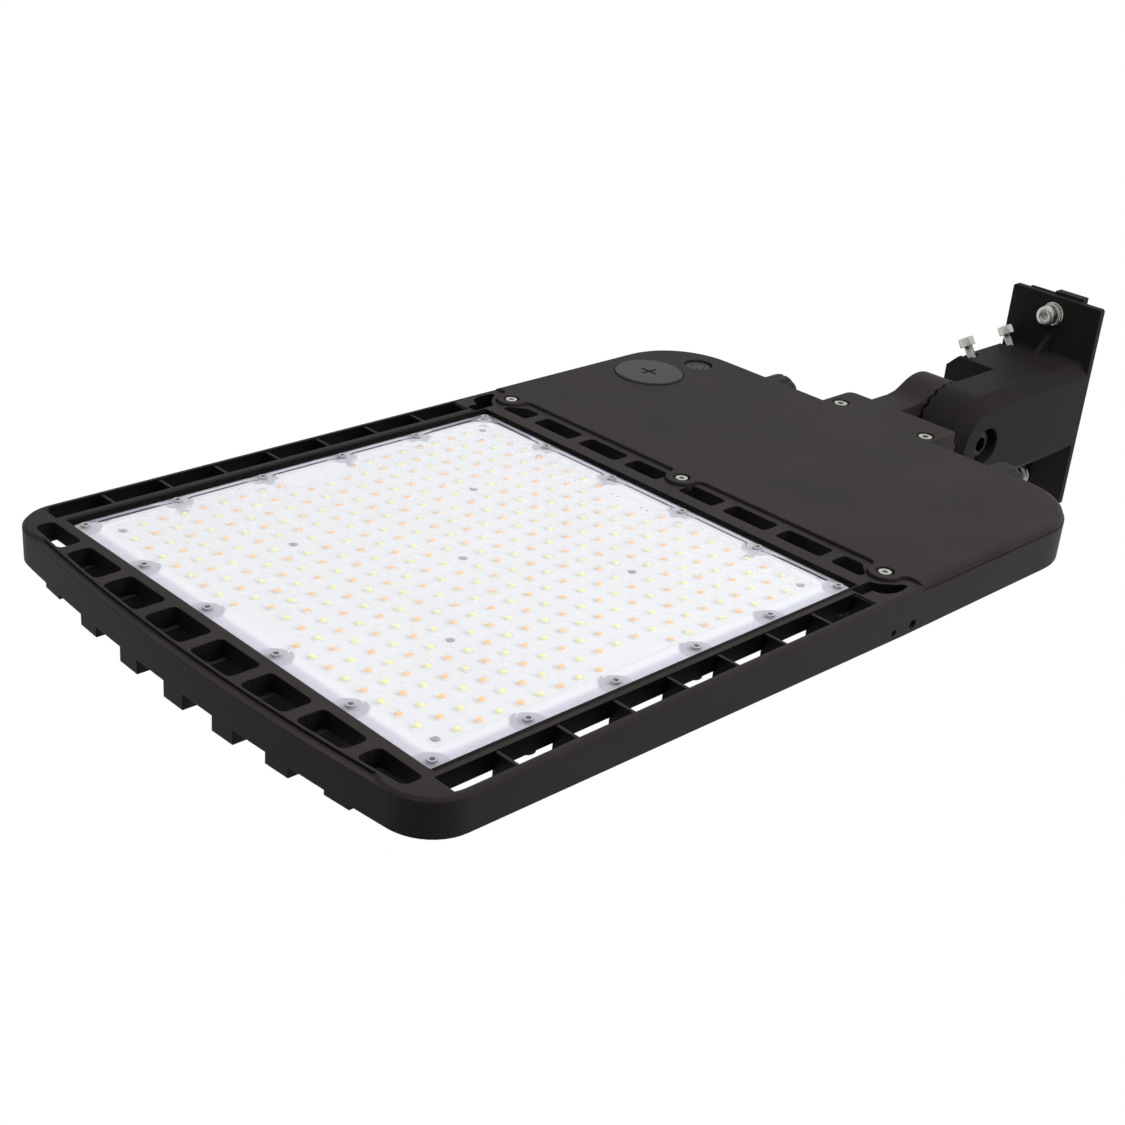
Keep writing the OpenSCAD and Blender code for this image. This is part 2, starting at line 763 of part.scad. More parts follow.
// cap with a plus-shaped driver slot and a neck that turns in the cover
module access_cap() {
  z0 = cover_face_z - 1;
  color(dark_col) translate([cap_x, cap_y, 0]) difference() {
    union() {
      translate([0, 0, z0]) cylinder(r1 = cap_r - 0.6, r2 = cap_r, h = 0.6);
      translate([0, 0, z0 + 0.6]) cylinder(r = cap_r, h = cap_t - 0.6);
      translate([0, 0, z0 + cap_t - e]) cylinder(r = neck_r, h = 6 + e);
    }
    for (a = [0, 90]) rotate(a) translate([0, 0, z0]) cube([cap_mark, 2, 2], center = true);
    translate([0, 0, z0 + cap_t + 1]) cylinder(r = neck_r - 2, h = 10);
  }
}

module cap_seal() {
  z0 = cover_face_z - 1 + cap_t;
  color("black") translate([cap_x, cap_y, z0]) difference() {
    cylinder(r = cap_r - 0.4, h = cover_face_z + cap_recess - z0);
    translate([0, 0, -1]) cylinder(r = neck_r + 0.4, h = 4);
  }
}

module vent_plug() {
  z0 = cover_face_z + 3.5;
  color(dark_col) translate([vent_x, vent_y, 0]) difference() {
    union() {
      translate([0, 0, z0 - 2.3]) cylinder(r = 7.9, h = 2.3);
      translate([0, 0, z0 - e]) cylinder(r = 6, h = 8);
    }
    for (a = [0:60:300]) rotate(a) translate([4.5, 0, z0 - 3]) cylinder(r = 0.8, h = 1.6);
    translate([0, 0, z0 + 1]) cylinder(r = 3.5, h = 8);
  }
}

module vent_nut() {
  z0 = cover_face_z + 7.8;
  color(dark_col) translate([vent_x, vent_y, z0]) difference() {
    linear_extrude(3) hex(16);
    translate([0, 0, -1]) cylinder(r = 6 + play, h = 6);
  }
}

module each_gland() {
  for (s = [-1, 1]) translate([s * gland_x, -head_back, gland_z]) children();
}

module gland_bodies() {
  color(dark_col) each_gland() difference() {
    union() {
      rod_y(gland_r, -11, e);
      rotate([-90, 0, 0]) linear_extrude(8.6) hex(24);
      rod_y(9.4, 8, 20);
    }
    rod_y(6.5, -12, 21);
  }
}

module gland_nuts() {
  color(dark_col) each_gland() difference() {
    union() {
      rod_y(14.2, 9, 26);
      translate([0, 26 - e, 0]) rotate([-90, 0, 0]) cylinder(r1 = 14.2, r2 = 10.5, h = 4);
    }
    rod_y(9.4 + play, 8, 24);
    rod_y(6.2, 20, 40);
    // grip flutes
    for (a = [0:30:330]) rotate([0, a, 0]) translate([15.4, 0, 0]) rod_y(2.2, 8, 40);
  }
}

module gland_plugs() {
  color("black") each_gland() difference() {
    union() {
      rod_y(6.1, 6, 30);
      rod_y(7.4, 30, 31.2);
    }
    rod_y(2.5, 27, 32);
  }
}

module gland_locknuts() {
  color(dark_col) each_gland() difference() {
    translate([0, -9, 0]) rotate([-90, 0, 0]) linear_extrude(5) hex(25);
    rod_y(gland_r + play, -12, 2);
  }
}

// ring of radial locking teeth on the knuckle's face, tips towards -X
module teeth(r_out, turn = 0) {
  w = 2 * 3.14159 * r_out / knuckle_teeth * 0.82;
  intersection() {
    for (i = [0:knuckle_teeth - 1])
      rotate([turn + i * 360 / knuckle_teeth, 0, 0]) translate([0, 0, 13])
        linear_extrude(r_out) polygon([[0, 0], [tooth_h + 0.4, -w / 2], [tooth_h + 0.4, w / 2]]);
    difference() {
      rod_x(r_out, -1, 5);
      rod_x(14, -2, 6);
    }
  }
}

// web that blends the flange into the round end
module knuckle_web() {
  polygon([[-base_back - 2, base_z], [pivot_y - 31, base_z], [pivot_y - 23.5, base_z - 1.2],
           [pivot_y - 16, base_z - 4.9], [pivot_y, 0], [pivot_y - 15, 28.2], [pivot_y - 38, 8],
           [-base_back + 0.4, base_z + base_t - 0.2], [-base_back - 2, base_z + base_t]]);
}

module knuckle_base() {
  face = tooth_gap / 2 + tooth_h;
  color(dark_col) difference() {
    union() {
      translate([0, (-head_back - base_back) / 2 + 0.1, 0]) prism(base_z, base_z + base_t)
        difference() {
          translate([0, -3]) round_rect(2 * base_half, head_back - base_back + 5.8, 5);
          translate([-60, -head_back / 2 + base_back / 2 - 20]) square([120, 20]);
        }
      side_prism(face, 25) knuckle_web();
      translate([0, pivot_y, 0]) {
        rod_x(knuckle_r, face, 25);
        translate([tooth_gap / 2, 0, 0]) teeth(knuckle_r);
      }
    }
    translate([0, pivot_y, 0]) {
      rod_x(pin_r + 0.08, -5, 40);
      rod_x(13, 17, 40);
    }
    for (s = [-1, 1]) translate([s * base_screw_x, base_screw_y, 0]) {
      translate([0, 0, -40]) cylinder(r = 2.7, h = 30);
      translate([0, 0, base_z - 1]) cylinder(r = 5.5, h = 5.2);
    }
  }
}

module base_screws() {
  color(zinc_col) for (s = [-1, 1])
    translate([s * base_screw_x, base_screw_y, base_z + 4.2]) cap_screw(2.5, 4.25, 3.8, 13, 3);
}

// cross-section of the arm, bevelled along its four edges
module arm_section() {
  b = 8;
  polygon([[-arm_half_w, -arm_half_h + b], [-arm_half_w + b, -arm_half_h], [arm_half_w - b, -arm_half_h],
           [arm_half_w, -arm_half_h + b], [arm_half_w, arm_half_h - b], [arm_half_w - b, arm_half_h],
           [-arm_half_w + b, arm_half_h], [-arm_half_w, arm_half_h - b]]);
}

// line of one clamp screw, from the socket's axis outwards
module clamp_line(y) {
  translate([0, y, 0]) rotate([0, -clamp_tilt, 0]) rotate([180, 0, 0]) children();
}

module arm() {
  face = tooth_gap / 2 + tooth_h;
  color(cast_col) difference() {
    union() {
      // full-width body behind the split
      translate([0, -plate_t / 2, 0]) rotate([90, 0, 0]) linear_extrude(arm_split - plate_t / 2) arm_section();
      // near half that reaches to the tilt axis
      intersection() {
        translate([0, -plate_t, 0]) rotate([90, 0, 0]) linear_extrude(pivot_reach - plate_t) arm_section();
        block([-60, pivot_y, -60], [-face, 0, 60]);
      }
      // round end, bevelled to match
      translate([0, pivot_y, 0]) {
        rod_x(arm_half_h, -arm_half_w + 8, -face);
        translate([-arm_half_w, 0, 0]) rotate([0, 90, 0])
          cylinder(r1 = arm_half_h - 8, r2 = arm_half_h, h = 8);
        mirror([1, 0, 0]) translate([tooth_gap / 2, 0, 0]) teeth(arm_half_h, 180 / knuckle_teeth);
      }
      // pole plate
      rotate([90, 0, 0]) linear_extrude(plate_t) round_rect(2 * arm_half_w - 1, plate_h, 2);
      // gussets above and below
      for (s = [-1, 1])
        side_prism(-1.8, 1.8) polygon([[-plate_t + 1, s * (arm_half_h - 1)], [-20, s * (arm_half_h - 1)],
                                       [-18.6, s * (arm_half_h + 0.6)], [-plate_t, s * (arm_half_h + 12)],
                                       [-plate_t + 1, s * (arm_half_h + 12)]]);
    }
    // pole socket
    rod_y(socket_r, -socket_l, 1);
    // hollow of the near half
    block([-arm_half_w + 6, pivot_y + 36, -arm_half_h + 7], [-face - 5, -socket_l + 1, arm_half_h - 7]);
    translate([0, pivot_y, 0]) {
      rod_x(pin_r + 0.3, -40, 5);
      rod_x(cheek_r, -40, -arm_half_w + 15);
    }
    for (y = [clamp_front_y, clamp_rear_y]) clamp_line(y) {
      cylinder(r = clamp_r + play, h = 60);
      translate([0, 0, clamp_seat]) cylinder(r = 7, h = 20);
    }
    for (s = [-1, 1]) translate([0, 0, s * bolt_gap / 2]) rod_y(m8_r + 0.4, -20, 5);
  }
}

module pivot_bolt() {
  x0 = -arm_half_w + 15;
  color(zinc_col) translate([0, pivot_y, 0]) {
    difference() {
      rod_x(9, x0 - 11, x0);
      translate([x0 - 11 - e, 0, 0]) rotate([0, 90, 0]) linear_extrude(6) hex(10);
    }
    rod_x(pin_r, x0 - e, 26.5);
  }
}

module pivot_washer() {
  color(zinc_col) translate([0, pivot_y, 0]) difference() {
    rod_x(11.5, 17.05, 18.8);
    rod_x(pin_r + play, 16, 20);
  }
}

module pivot_nut() {
  color(zinc_col) translate([18.8, pivot_y, 0]) difference() {
    rotate([0, 90, 0]) linear_extrude(6.4) hex(18);
    rod_x(pin_r + play, -1, 8);
  }
}

// knurled clamp screw, its seat at the underside of the head
module clamp_screw(y) {
  color(zinc_col) clamp_line(y) translate([0, 0, clamp_seat + 8]) difference() {
    union() {
      translate([0, 0, 0]) cylinder(r = 5, h = 5.4);
      translate([0, 0, 5.4 - e]) cylinder(r1 = 5, r2 = 4.4, h = 0.6 + e);
      translate([0, 0, -15.6]) cylinder(r = clamp_r, h = 15.6 + e);
    }
    translate([0, 0, 3]) linear_extrude(4) hex(5);
  }
}

module clamp_screw_front() {
  clamp_screw(clamp_front_y);
}

module clamp_screw_rear() {
  clamp_screw(clamp_rear_y);
}

module at_bolts() {
  for (s = [-1, 1]) translate([0, -plate_t, s * bolt_gap / 2]) children();
}

module plate_bolts() {
  color(zinc_col) at_bolts() {
    difference() {
      rod_y(6.5, -11.6, -3.6);
      translate([0, -11.6 - e, 0]) rotate([-90, 0, 0]) linear_extrude(4.5) hex(6);
    }
    rod_y(m8_r, -3.6 - e, plate_t + 11);
  }
}

module spring_washers() {
  color(zinc_col) at_bolts() difference() {
    rod_y(7.4, -3.6, -1.6);
    rod_y(m8_r + play, -5, 0);
    // split
    translate([5, -2.6, 0]) rotate([30, 0, 0]) cube([6, 8, 0.6], center = true);
  }
}

module flat_washers() {
  color(zinc_col) at_bolts() difference() {
    rod_y(8, -1.6, 0);
    rod_y(m8_r + 0.2, -3, 1);
  }
}

// threaded backing plates behind the pole plate
module nut_plates() {
  color(dark_col) for (s = [-1, 1]) scale([1, 1, s]) difference() {
    union() {
      block([-17, 0, 48], [24, 2.5, plate_h / 2 + 0.5]);
      block([-17, 0, 50], [4.6, 7, plate_h / 2 + 2]);
    }
    translate([0, 0, bolt_gap / 2]) rod_y(m8_r + play, -1, 10);
  }
}

housing();
driver_cover();
cover_gasket();
cover_screws();
led_board();
leds_warm();
leds_cool();
board_screws();
lens();
lens_gasket();
lens_screws();
led_driver();
driver_screws();
surge_protector();
terminal_block();
earth_screw();
output_lead();
supply_lead();
lead_grommet();
selector_cup();
selector_board();
power_slider();
colour_slider();
access_cap();
cap_seal();
vent_plug();
vent_nut();
gland_bodies();
gland_nuts();
gland_plugs();
gland_locknuts();
knuckle_base();
base_screws();
arm();
pivot_bolt();
pivot_washer();
pivot_nut();
clamp_screw_front();
clamp_screw_rear();
plate_bolts();
spring_washers();
flat_washers();
nut_plates();
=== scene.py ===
"""Pole-mounted street light: visible pieces, finishes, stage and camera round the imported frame.

Sizes in the shape functions are millimetres, and add_piece turns them into metres. Sizes in the
finishes and on the stage are metres.
"""

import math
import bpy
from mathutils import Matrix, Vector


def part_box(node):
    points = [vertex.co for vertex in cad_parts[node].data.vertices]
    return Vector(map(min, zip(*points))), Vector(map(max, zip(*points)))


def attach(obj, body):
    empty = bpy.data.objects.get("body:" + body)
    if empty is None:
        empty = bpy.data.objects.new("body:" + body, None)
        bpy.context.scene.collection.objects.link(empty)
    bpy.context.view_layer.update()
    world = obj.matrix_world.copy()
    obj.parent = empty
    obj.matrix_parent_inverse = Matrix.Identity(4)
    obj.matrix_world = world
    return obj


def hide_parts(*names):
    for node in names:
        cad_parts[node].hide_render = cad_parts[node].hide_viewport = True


bl_info = {
    "name": "Street Light Builder",
    "version": (1, 0, 0),
    "blender": (4, 5, 0),
    "location": "View3D > Sidebar > Street Light",
    "description": "Builds the visible pieces and finishes of a pole-mounted street light",
    "category": "Add Mesh",
}

from functools import cached_property

import bmesh
import bpy
import numpy as np
from bpy.props import FloatProperty, FloatVectorProperty, PointerProperty
from mathutils import Matrix

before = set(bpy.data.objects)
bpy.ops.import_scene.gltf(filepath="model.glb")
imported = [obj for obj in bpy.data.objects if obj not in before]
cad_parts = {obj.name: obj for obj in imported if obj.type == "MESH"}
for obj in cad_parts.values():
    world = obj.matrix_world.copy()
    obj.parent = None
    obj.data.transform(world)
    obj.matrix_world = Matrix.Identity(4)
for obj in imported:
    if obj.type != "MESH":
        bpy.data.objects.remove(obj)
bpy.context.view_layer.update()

MM = 0.001
TAU = 2 * math.pi


def node_box(name):
    """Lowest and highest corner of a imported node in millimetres."""
    low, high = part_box(name)
    return np.array(low) / MM, np.array(high) / MM


GRID = 21  # places along each side of the LED array
LED_MID = GRID // 2
INNER_SCREW = 5  # places from the array's middle to the inner board screws

LENS_LOW, LENS_HIGH = node_box("lens")
BOARD_LOW, BOARD_HIGH = node_box("led_board")
HEAD_LOW, HEAD_HIGH = node_box("housing")
ARRAY_Y = float(BOARD_LOW[1] + BOARD_HIGH[1]) / 2
LENS_HALF = float(LENS_HIGH[0] - LENS_LOW[0]) / 2
BOARD_HALF = float(BOARD_HIGH[0] - BOARD_LOW[0]) / 2
PITCH = BOARD_HALF / (GRID / 2)
LENS_OUT = float(LENS_LOW[2])
LENS_IN = float(LENS_HIGH[2])
BOARD_OUT = float(BOARD_LOW[2])
HEAD_HALF = float(HEAD_HIGH[0])
HEAD_FRONT = float(HEAD_LOW[1])

SCREW_SPAN = 133.2  # from the array's middle to each row of lens screws
SCREW_ROW = SCREW_SPAN * (np.arange(6) * 0.4 - 1)
BOW_RADIUS = 1300  # of the head's front edge
FRONT_CORNER = 24  # radius of the head's two front corners
WINDOWS_END = 170  # behind the array's middle
PAINTED_SHADE_TOP = -8  # height up to which the openings' walls take painted shade
SIDE_CELLS = 143  # from the middle plane out to the openings between the side ribs
BAR_MID, BAR_HALF, BAR_END = 140.8, 1.5, 139.7  # painted shade line on the bar beside the lens
HEX_MIDDLE = 1.0774  # halfway between a hexagon's inscribed and outer radius


# Mesh helpers


def board_screw_here(i, j):
    """True where a screw holds the board: in the middle and at four inner and four outer places."""
    a, b = abs(i - LED_MID), abs(j - LED_MID)
    return a == b and a in (0, INNER_SCREW, LED_MID)


def led_here(i, j):
    """True where column i and row j of the array hold an LED, not a screw or a solder pad."""
    a, b = abs(i - LED_MID), abs(j - LED_MID)
    pad = (a == LED_MID and b <= 1) or (b == LED_MID and a <= 1)
    return not (pad or board_screw_here(i, j))


def array_place(i, j):
    """Centre of column i and row j of the array."""
    return (i - LED_MID) * PITCH, ARRAY_Y + (j - LED_MID) * PITCH, 0


def led_places(parity):
    """Centres of the LEDs whose column plus row has that parity."""
    cells = [(i, j) for i in range(GRID) for j in range(GRID) if (i + j) % 2 == parity]
    return np.array([array_place(i, j) for i, j in cells if led_here(i, j)])


def board_screw_places():
    """Centres of the screws that hold the board: middle, four inner, four corner."""
    rings = [(a, b) for r in (INNER_SCREW, LED_MID) for a in (-r, r) for b in (-r, r)]
    return np.array([array_place(LED_MID + a, LED_MID + b) for a, b in [(0, 0)] + rings])


def lens_screw_places():
    """Centres of the twenty screws, six along each side of a square."""
    grid = [(x, y) for x in SCREW_ROW for y in SCREW_ROW]
    return np.array([(x, ARRAY_Y + y, 0) for x, y in grid if max(abs(x), abs(y)) > SCREW_SPAN - 1])


def quads(rows, cols):
    """Four-point faces of a grid of rows by cols points, its last column joined to the first."""
    r = np.arange(rows - 1)[:, None] * cols
    c = np.arange(cols)[None, :]
    d = (c + 1) % cols
    return np.stack([r + c, r + d, r + cols + d, r + cols + c], -1).reshape(-1, 4)


def lathe(profile, sides=24, radii=None):
    """Surface of revolution: point (r cos a, r sin a, z) for each profile pair (r, z) and angle a.

    radii, if given, is an array of one row per profile pair and one column per angle that
    multiplies the radius, so that a ring can be hexagonal, fluted or knurled.
    """
    profile = np.asarray(profile, float)
    a = np.arange(sides) * TAU / sides
    r = profile[:, :1] * (np.ones((1, sides)) if radii is None else radii)
    z = np.repeat(profile[:, 1:], sides, 1)
    points = np.stack([r * np.cos(a), r * np.sin(a), z], -1).reshape(-1, 3)
    return points, quads(len(profile), sides)


def hexagonal(sides):
    """Radius at each angle of a hexagon whose inscribed radius is one: 1 / cos(angle to a flat)."""
    a = np.arange(sides) * TAU / sides
    return 1 / np.cos((a + math.pi / 6) % (math.pi / 3) - math.pi / 6)


def repeat(shape, places):
    """One copy of a shape at each place, all in one set of points and faces."""
    points, faces = shape
    places = np.asarray(places, float).reshape(-1, 3)
    all_points = (places[:, None] + points[None]).reshape(-1, 3)
    steps = np.arange(len(places)) * len(points)
    return all_points, (steps[:, None, None] + faces[None]).reshape(-1, 4)


def aim(shape, direction, origin=(0, 0, 0)):
    """Turns a shape made along +Z so that it points along direction, then moves it to origin."""
    w = np.array(direction, float)
    w /= np.linalg.norm(w)
    u = np.cross((0.0, 0.0, 1.0) if abs(w[2]) < 0.9 else (1.0, 0.0, 0.0), w)
    u /= np.linalg.norm(u)
    turn = np.stack([u, np.cross(w, u), w])
    return shape[0] @ turn + np.array(origin, float), shape[1]


def join(*shapes):
    """Several shapes as one, each still closed by itself."""
    starts = np.cumsum([0] + [len(points) for points, _ in shapes])
    faces = [faces + start for (_, faces), start in zip(shapes, starts)]
    return np.concatenate([points for points, _ in shapes]), np.concatenate(faces)


def place_object(name, data):
    """Puts a mesh, lamp or camera into the scene."""
    made = bpy.data.objects.new(name, data)
    bpy.context.scene.collection.objects.link(made)
    return made


def mesh_object(mesh, work, material, sharp):
    """Writes a worked shape back into its mesh and puts it into the scene with its finish.

    Shading is smooth but for edges that bend by more than sharp degrees.
    """
    work.to_mesh(mesh)
    work.free()
    mesh.shade_smooth()
    mesh.set_sharp_from_angle(angle=math.radians(sharp))
    mesh.materials.append(material)
    return place_object(mesh.name, mesh)


def add_piece(name, shape, look, body, slot, replaces=()):
    """look is the name of its finish.
    """
    points, faces = shape
    mesh = bpy.data.meshes.new(name)
    mesh.from_pydata((points * MM).tolist(), [], faces.tolist())
    work = bmesh.new()
    work.from_mesh(mesh)
    bmesh.ops.remove_doubles(work, verts=work.verts, dist=1e-6)
    bmesh.ops.dissolve_degenerate(work, edges=work.edges, dist=1e-7)
    bmesh.ops.recalc_face_normals(work, faces=work.faces)
    piece = mesh_object(mesh, work, finish(look), 35)
    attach(piece, body)
    if replaces:
        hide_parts(*replaces)
    return piece


# Finishes


class Graph:
    """A short way to write nodes: each call adds one node and links its inputs."""

    def __init__(self, owner):
        """Starts the nodes of a material or world anew."""
        owner.use_nodes = True
        self.owner = owner
        self.tree = owner.node_tree
        self.tree.nodes.clear()

    @cached_property
    def coord(self):
        """Place on the piece, in metres along its own axes."""
        return self.add("ShaderNodeTexCoord").outputs["Object"]

    def add(self, kind, settings=None, **inputs):
        """Adds a node. settings are its own values, inputs are socket values or links."""
        node = self.tree.nodes.new(kind)
        for key, value in (settings or {}).items():
            setattr(node, key, value)
        for key, value in inputs.items():
            socket = node.inputs[int(key[1:]) if key[1:].isdigit() else key.replace("_", " ")]
            if isinstance(value, bpy.types.NodeSocket):
                self.tree.links.new(value, socket)
            else:
                socket.default_value = value
        return node

    def noise(self, scale, detail=2.0, rough=0.5):
        settings = {"Vector": self.coord, "Scale": scale, "Detail": detail, "Roughness": rough}
        return self.add("ShaderNodeTexNoise", **settings).outputs[0]

    def cells(self, scale):
        return self.add("ShaderNodeTexVoronoi", Vector=self.coord, Scale=scale).outputs["Distance"]

    def span(self, value, low, high, to_low=0.0, to_high=1.0):
        """to_low where value is low, to_high where it is high, in a straight line between."""
        ends = {"From_Min": low, "From_Max": high, "To_Min": to_low, "To_Max": to_high}
        return self.add("ShaderNodeMapRange", Value=value, **ends).outputs[0]

    def math(self, operation, *values):
        inputs = {f"_{k}": value for k, value in enumerate(values)}
        return self.add("ShaderNodeMath", {"operation": operation}, **inputs).outputs[0]

    def split(self, vector):
        """The x, y and z of a vector."""
        return self.add("ShaderNodeSeparateXYZ", _0=vector).outputs[:3]

    def length(self, a, b):
        """Square root of a squared plus b squared."""
        squares = self.math("ADD", self.math("MULTIPLY", a, a), self.math("MULTIPLY", b, b))
        return self.math("SQRT", squares)

    def fold(self, value, middle, step):
        """Distance of value from the nearest of the places middle, middle + 2 step, and so on."""
        return self.math("PINGPONG", self.math("SUBTRACT", value, middle), step)

    def blend(self, factor, a, b):
        """Colour a where factor is 0 and b where it is 1."""
        return self.add("ShaderNodeMix", {"data_type": "RGBA"}, _0=factor, _6=a, _7=b).outputs[2]

    def bump(self, height, distance, strength=1.0, normal=None):
        inputs = {"Height": height, "Distance": distance, "Strength": strength}
        if normal:
            inputs["Normal"] = normal
        return self.add("ShaderNodeBump", **inputs).outputs[0]

    def mix_shader(self, factor, a, b):
        return self.add("ShaderNodeMixShader", _0=factor, _1=a, _2=b).outputs[0]

    def seen(self):
        """1 for rays that reach the camera straight or by a shiny or clear part, else 0."""
        path = self.add("ShaderNodeLightPath").outputs
        by_part = self.math("MAXIMUM", path["Is Glossy Ray"], path["Is Transmission Ray"])
        return self.math("MAXIMUM", path["Is Camera Ray"], by_part)

    def output(self, socket, kind="ShaderNodeOutputMaterial"):
        """Gives the shader out and returns the material or world."""
        self.add(kind, Surface=socket)
        return self.owner

    def surface(self, **inputs):
        """Gives a Principled shader out and returns the material."""
        return self.output(self.add("ShaderNodeBsdfPrincipled", **inputs).outputs[0])


def material_graph(name):
    """The nodes of the material of that name, to be written anew."""
    return Graph(bpy.data.materials.get(name) or bpy.data.materials.new(name))


def tone(colour, k):
    """The colour made k times as light."""
    return tuple(min(1.0, c * k) for c in colour[:3]) + (1.0,)


def inside_head(g, margin):
    """1 for points of the lens side that lie more than margin inside the head's outline, else 0.

    The outline is abs(x) = half the width in front, and the circle of the bow's radius round
    the bow's centre. Points whose depths from the two add up to less than the corner's radius
    are left out, and so is all that lies behind the windows or above the recesses' top.
    """
    x, y, z = g.split(g.coord)
    x = g.math("ABSOLUTE", x)
    reach = g.length(x, g.math("SUBTRACT", y, (BOW_RADIUS + HEAD_FRONT) * MM))
    from_side = g.math("SUBTRACT", HEAD_HALF * MM, x)
    from_bow = g.math("SUBTRACT", BOW_RADIUS * MM, reach)
    tests = (
        g.math("LESS_THAN", x, HEAD_HALF * MM - margin),
        g.math("LESS_THAN", reach, BOW_RADIUS * MM - margin),
        g.math("LESS_THAN", z, PAINTED_SHADE_TOP * MM),
        g.math("GREATER_THAN", g.math("ADD", from_side, from_bow), FRONT_CORNER * MM),
        g.math("LESS_THAN", y, (ARRAY_Y + WINDOWS_END) * MM),
    )
    inside = tests[0]
    for test in tests[1:]:
        inside = g.math("MULTIPLY", inside, test)
    return inside


def painted_wall_shade(g, tint, colour, recess, normal):
    """The tint with painted shade on upright walls inside the head's openings and on a line of the
    bar.

    Upright walls take recess of the colour, and 0.4 of that between the side ribs. The dark line
    lies on the bar beside the lens, which is narrower on the real head than in the solid, and is
    painted shade that stands in for the shaded opening beside it.
    """
    # painted shade: bare marks upright walls inside the openings, which take recess of the colour
    upright = g.math("LESS_THAN", g.math("ABSOLUTE", g.split(normal)[2]), 0.6)
    bare = g.math("MULTIPLY", upright, inside_head(g, 0.0025))
    x, y, _ = g.split(g.coord)
    x = g.math("ABSOLUTE", x)
    outside = g.math("GREATER_THAN", x, SIDE_CELLS * MM)
    tint = g.blend(bare, tint, tone(colour, recess))
    tint = g.blend(g.math("MULTIPLY", bare, outside), tint, tone(colour, recess * 0.4))
    # painted shade: a dark line on the bar beside the lens
    from_middle = g.math("ABSOLUTE", g.math("SUBTRACT", y, ARRAY_Y * MM))
    along = g.math("LESS_THAN", from_middle, BAR_END * MM)
    line = g.math("MULTIPLY", g.math("COMPARE", x, BAR_MID * MM, BAR_HALF * MM), along)
    return g.blend(line, tint, tone(colour, recess))


def powder_coat(name, colour, grain, edge, recess=1.0):
    """Baked powder coat: fine pebbled skin, slow unevenness, and a paler line along the edges that
    is partly worn powder and partly painted highlight.

    edge is the width of that line in metres. recess is the share of the colour left on upright
    walls inside the head's openings, as painted shade.
    """
    g = material_graph(name)
    skin = g.noise(1500, 3, 0.6)
    slow = g.noise(22, 4)
    fleck = g.noise(4200, 1)
    tint = g.blend(g.span(slow, 0.35, 0.65), tone(colour, 0.86), tone(colour, 1.12))
    tint = g.blend(g.span(fleck, 0.62, 0.78, 0, 0.35), tint, tone(colour, 1.9))
    round_normal = g.add("ShaderNodeBevel", {"samples": 4}, Radius=edge).outputs[0]
    flat_normal = g.add("ShaderNodeNewGeometry").outputs["Normal"]
    dot = {"operation": "DOT_PRODUCT"}
    bend = g.add("ShaderNodeVectorMath", dot, _0=round_normal, _1=flat_normal).outputs["Value"]
    # paler edges: partly worn powder, partly painted highlight
    worn_and_highlit = g.math("MULTIPLY", g.span(bend, 0.97, 0.78), g.span(g.noise(260, 3), 0.42, 0.7))
    tint = g.blend(g.math("MULTIPLY", worn_and_highlit, 0.5), tint, tone(colour, 2.3))
    # painted shade on upright walls inside the head's openings
    if recess < 1:
        tint = painted_wall_shade(g, tint, colour, recess, flat_normal)
    rough = g.math("ADD", g.span(skin, 0.3, 0.7, 0.47, 0.56), g.span(slow, 0.3, 0.7, -0.03, 0.04))
    normal = g.bump(skin, 0.00009 * grain, 0.8, round_normal)
    return g.surface(Base_Color=tint, Roughness=rough, Normal=normal, Specular_IOR_Level=0.05)


def moulded(name, colour, rough, grain=900, shine=0.35):
    """Moulded plastic or rubber: soft mottling and a fine spark-eroded skin."""
    g = material_graph(name)
    skin = g.noise(grain, 2)
    slow = g.noise(35, 3)
    tint = g.blend(g.span(slow, 0.35, 0.65), tone(colour, 0.9), tone(colour, 1.1))
    return g.surface(
        Base_Color=tint,
        Roughness=g.span(skin, 0.3, 0.7, rough - 0.05, rough + 0.06),
        Normal=g.bump(skin, 0.00005, 0.6),
        Specular_IOR_Level=shine,
    )


def plated(name, colour, rough, metallic=1.0):
    """Zinc-plated or bare metal: cloudy passivation, fine turning marks and small dull spots."""
    g = material_graph(name)
    cloud = g.noise(160, 4)
    fine = g.noise(2600, 2)
    spot = g.span(g.cells(420), 0.0, 0.25, 1, 0)
    tint = g.blend(g.span(cloud, 0.35, 0.65), tone(colour, 0.86), tone(colour, 1.05))
    tint = g.blend(g.math("MULTIPLY", spot, 0.25), tint, tone(colour, 0.6))
    clouded = g.span(cloud, 0.3, 0.7, rough - 0.06, rough + 0.08)
    return g.surface(
        Base_Color=tint,
        Metallic=metallic,
        Roughness=g.math("ADD", clouded, g.math("MULTIPLY", spot, 0.12)),
        Normal=g.bump(fine, 0.00002, 0.7),
    )


def clear_plastic(name, colour):
    """Clear polycarbonate: moulding ripple, faint haze, and lamp light let through to the board.

    Light bends where it enters and leaves straight, so no facet turns black by total reflection.
    """
    g = material_graph(name)
    ripple = g.noise(70, 2)
    haze = g.noise(14, 4)
    tint = g.blend(g.span(haze, 0.35, 0.7), colour, tone(colour, 0.97))
    bending = g.add(
        "ShaderNodeBsdfPrincipled",
        Base_Color=tint,
        Roughness=g.span(haze, 0.3, 0.7, 0.02, 0.06),
        Normal=g.bump(ripple, 0.0002, 0.15),
        IOR=1.22,
        Transmission_Weight=1.0,
        Coat_Weight=1.0,
        Coat_IOR=1.5,
        Coat_Roughness=0.05,
    ).outputs[0]
    through = g.add("ShaderNodeBsdfTransparent", Color=(0.99, 0.99, 1.0, 1)).outputs[0]
    shadow = g.add("ShaderNodeLightPath").outputs["Is Shadow Ray"]
    leaving = g.add("ShaderNodeNewGeometry").outputs["Backfacing"]
    return g.output(g.mix_shader(g.math("MAXIMUM", shadow, leaving), bending, through))


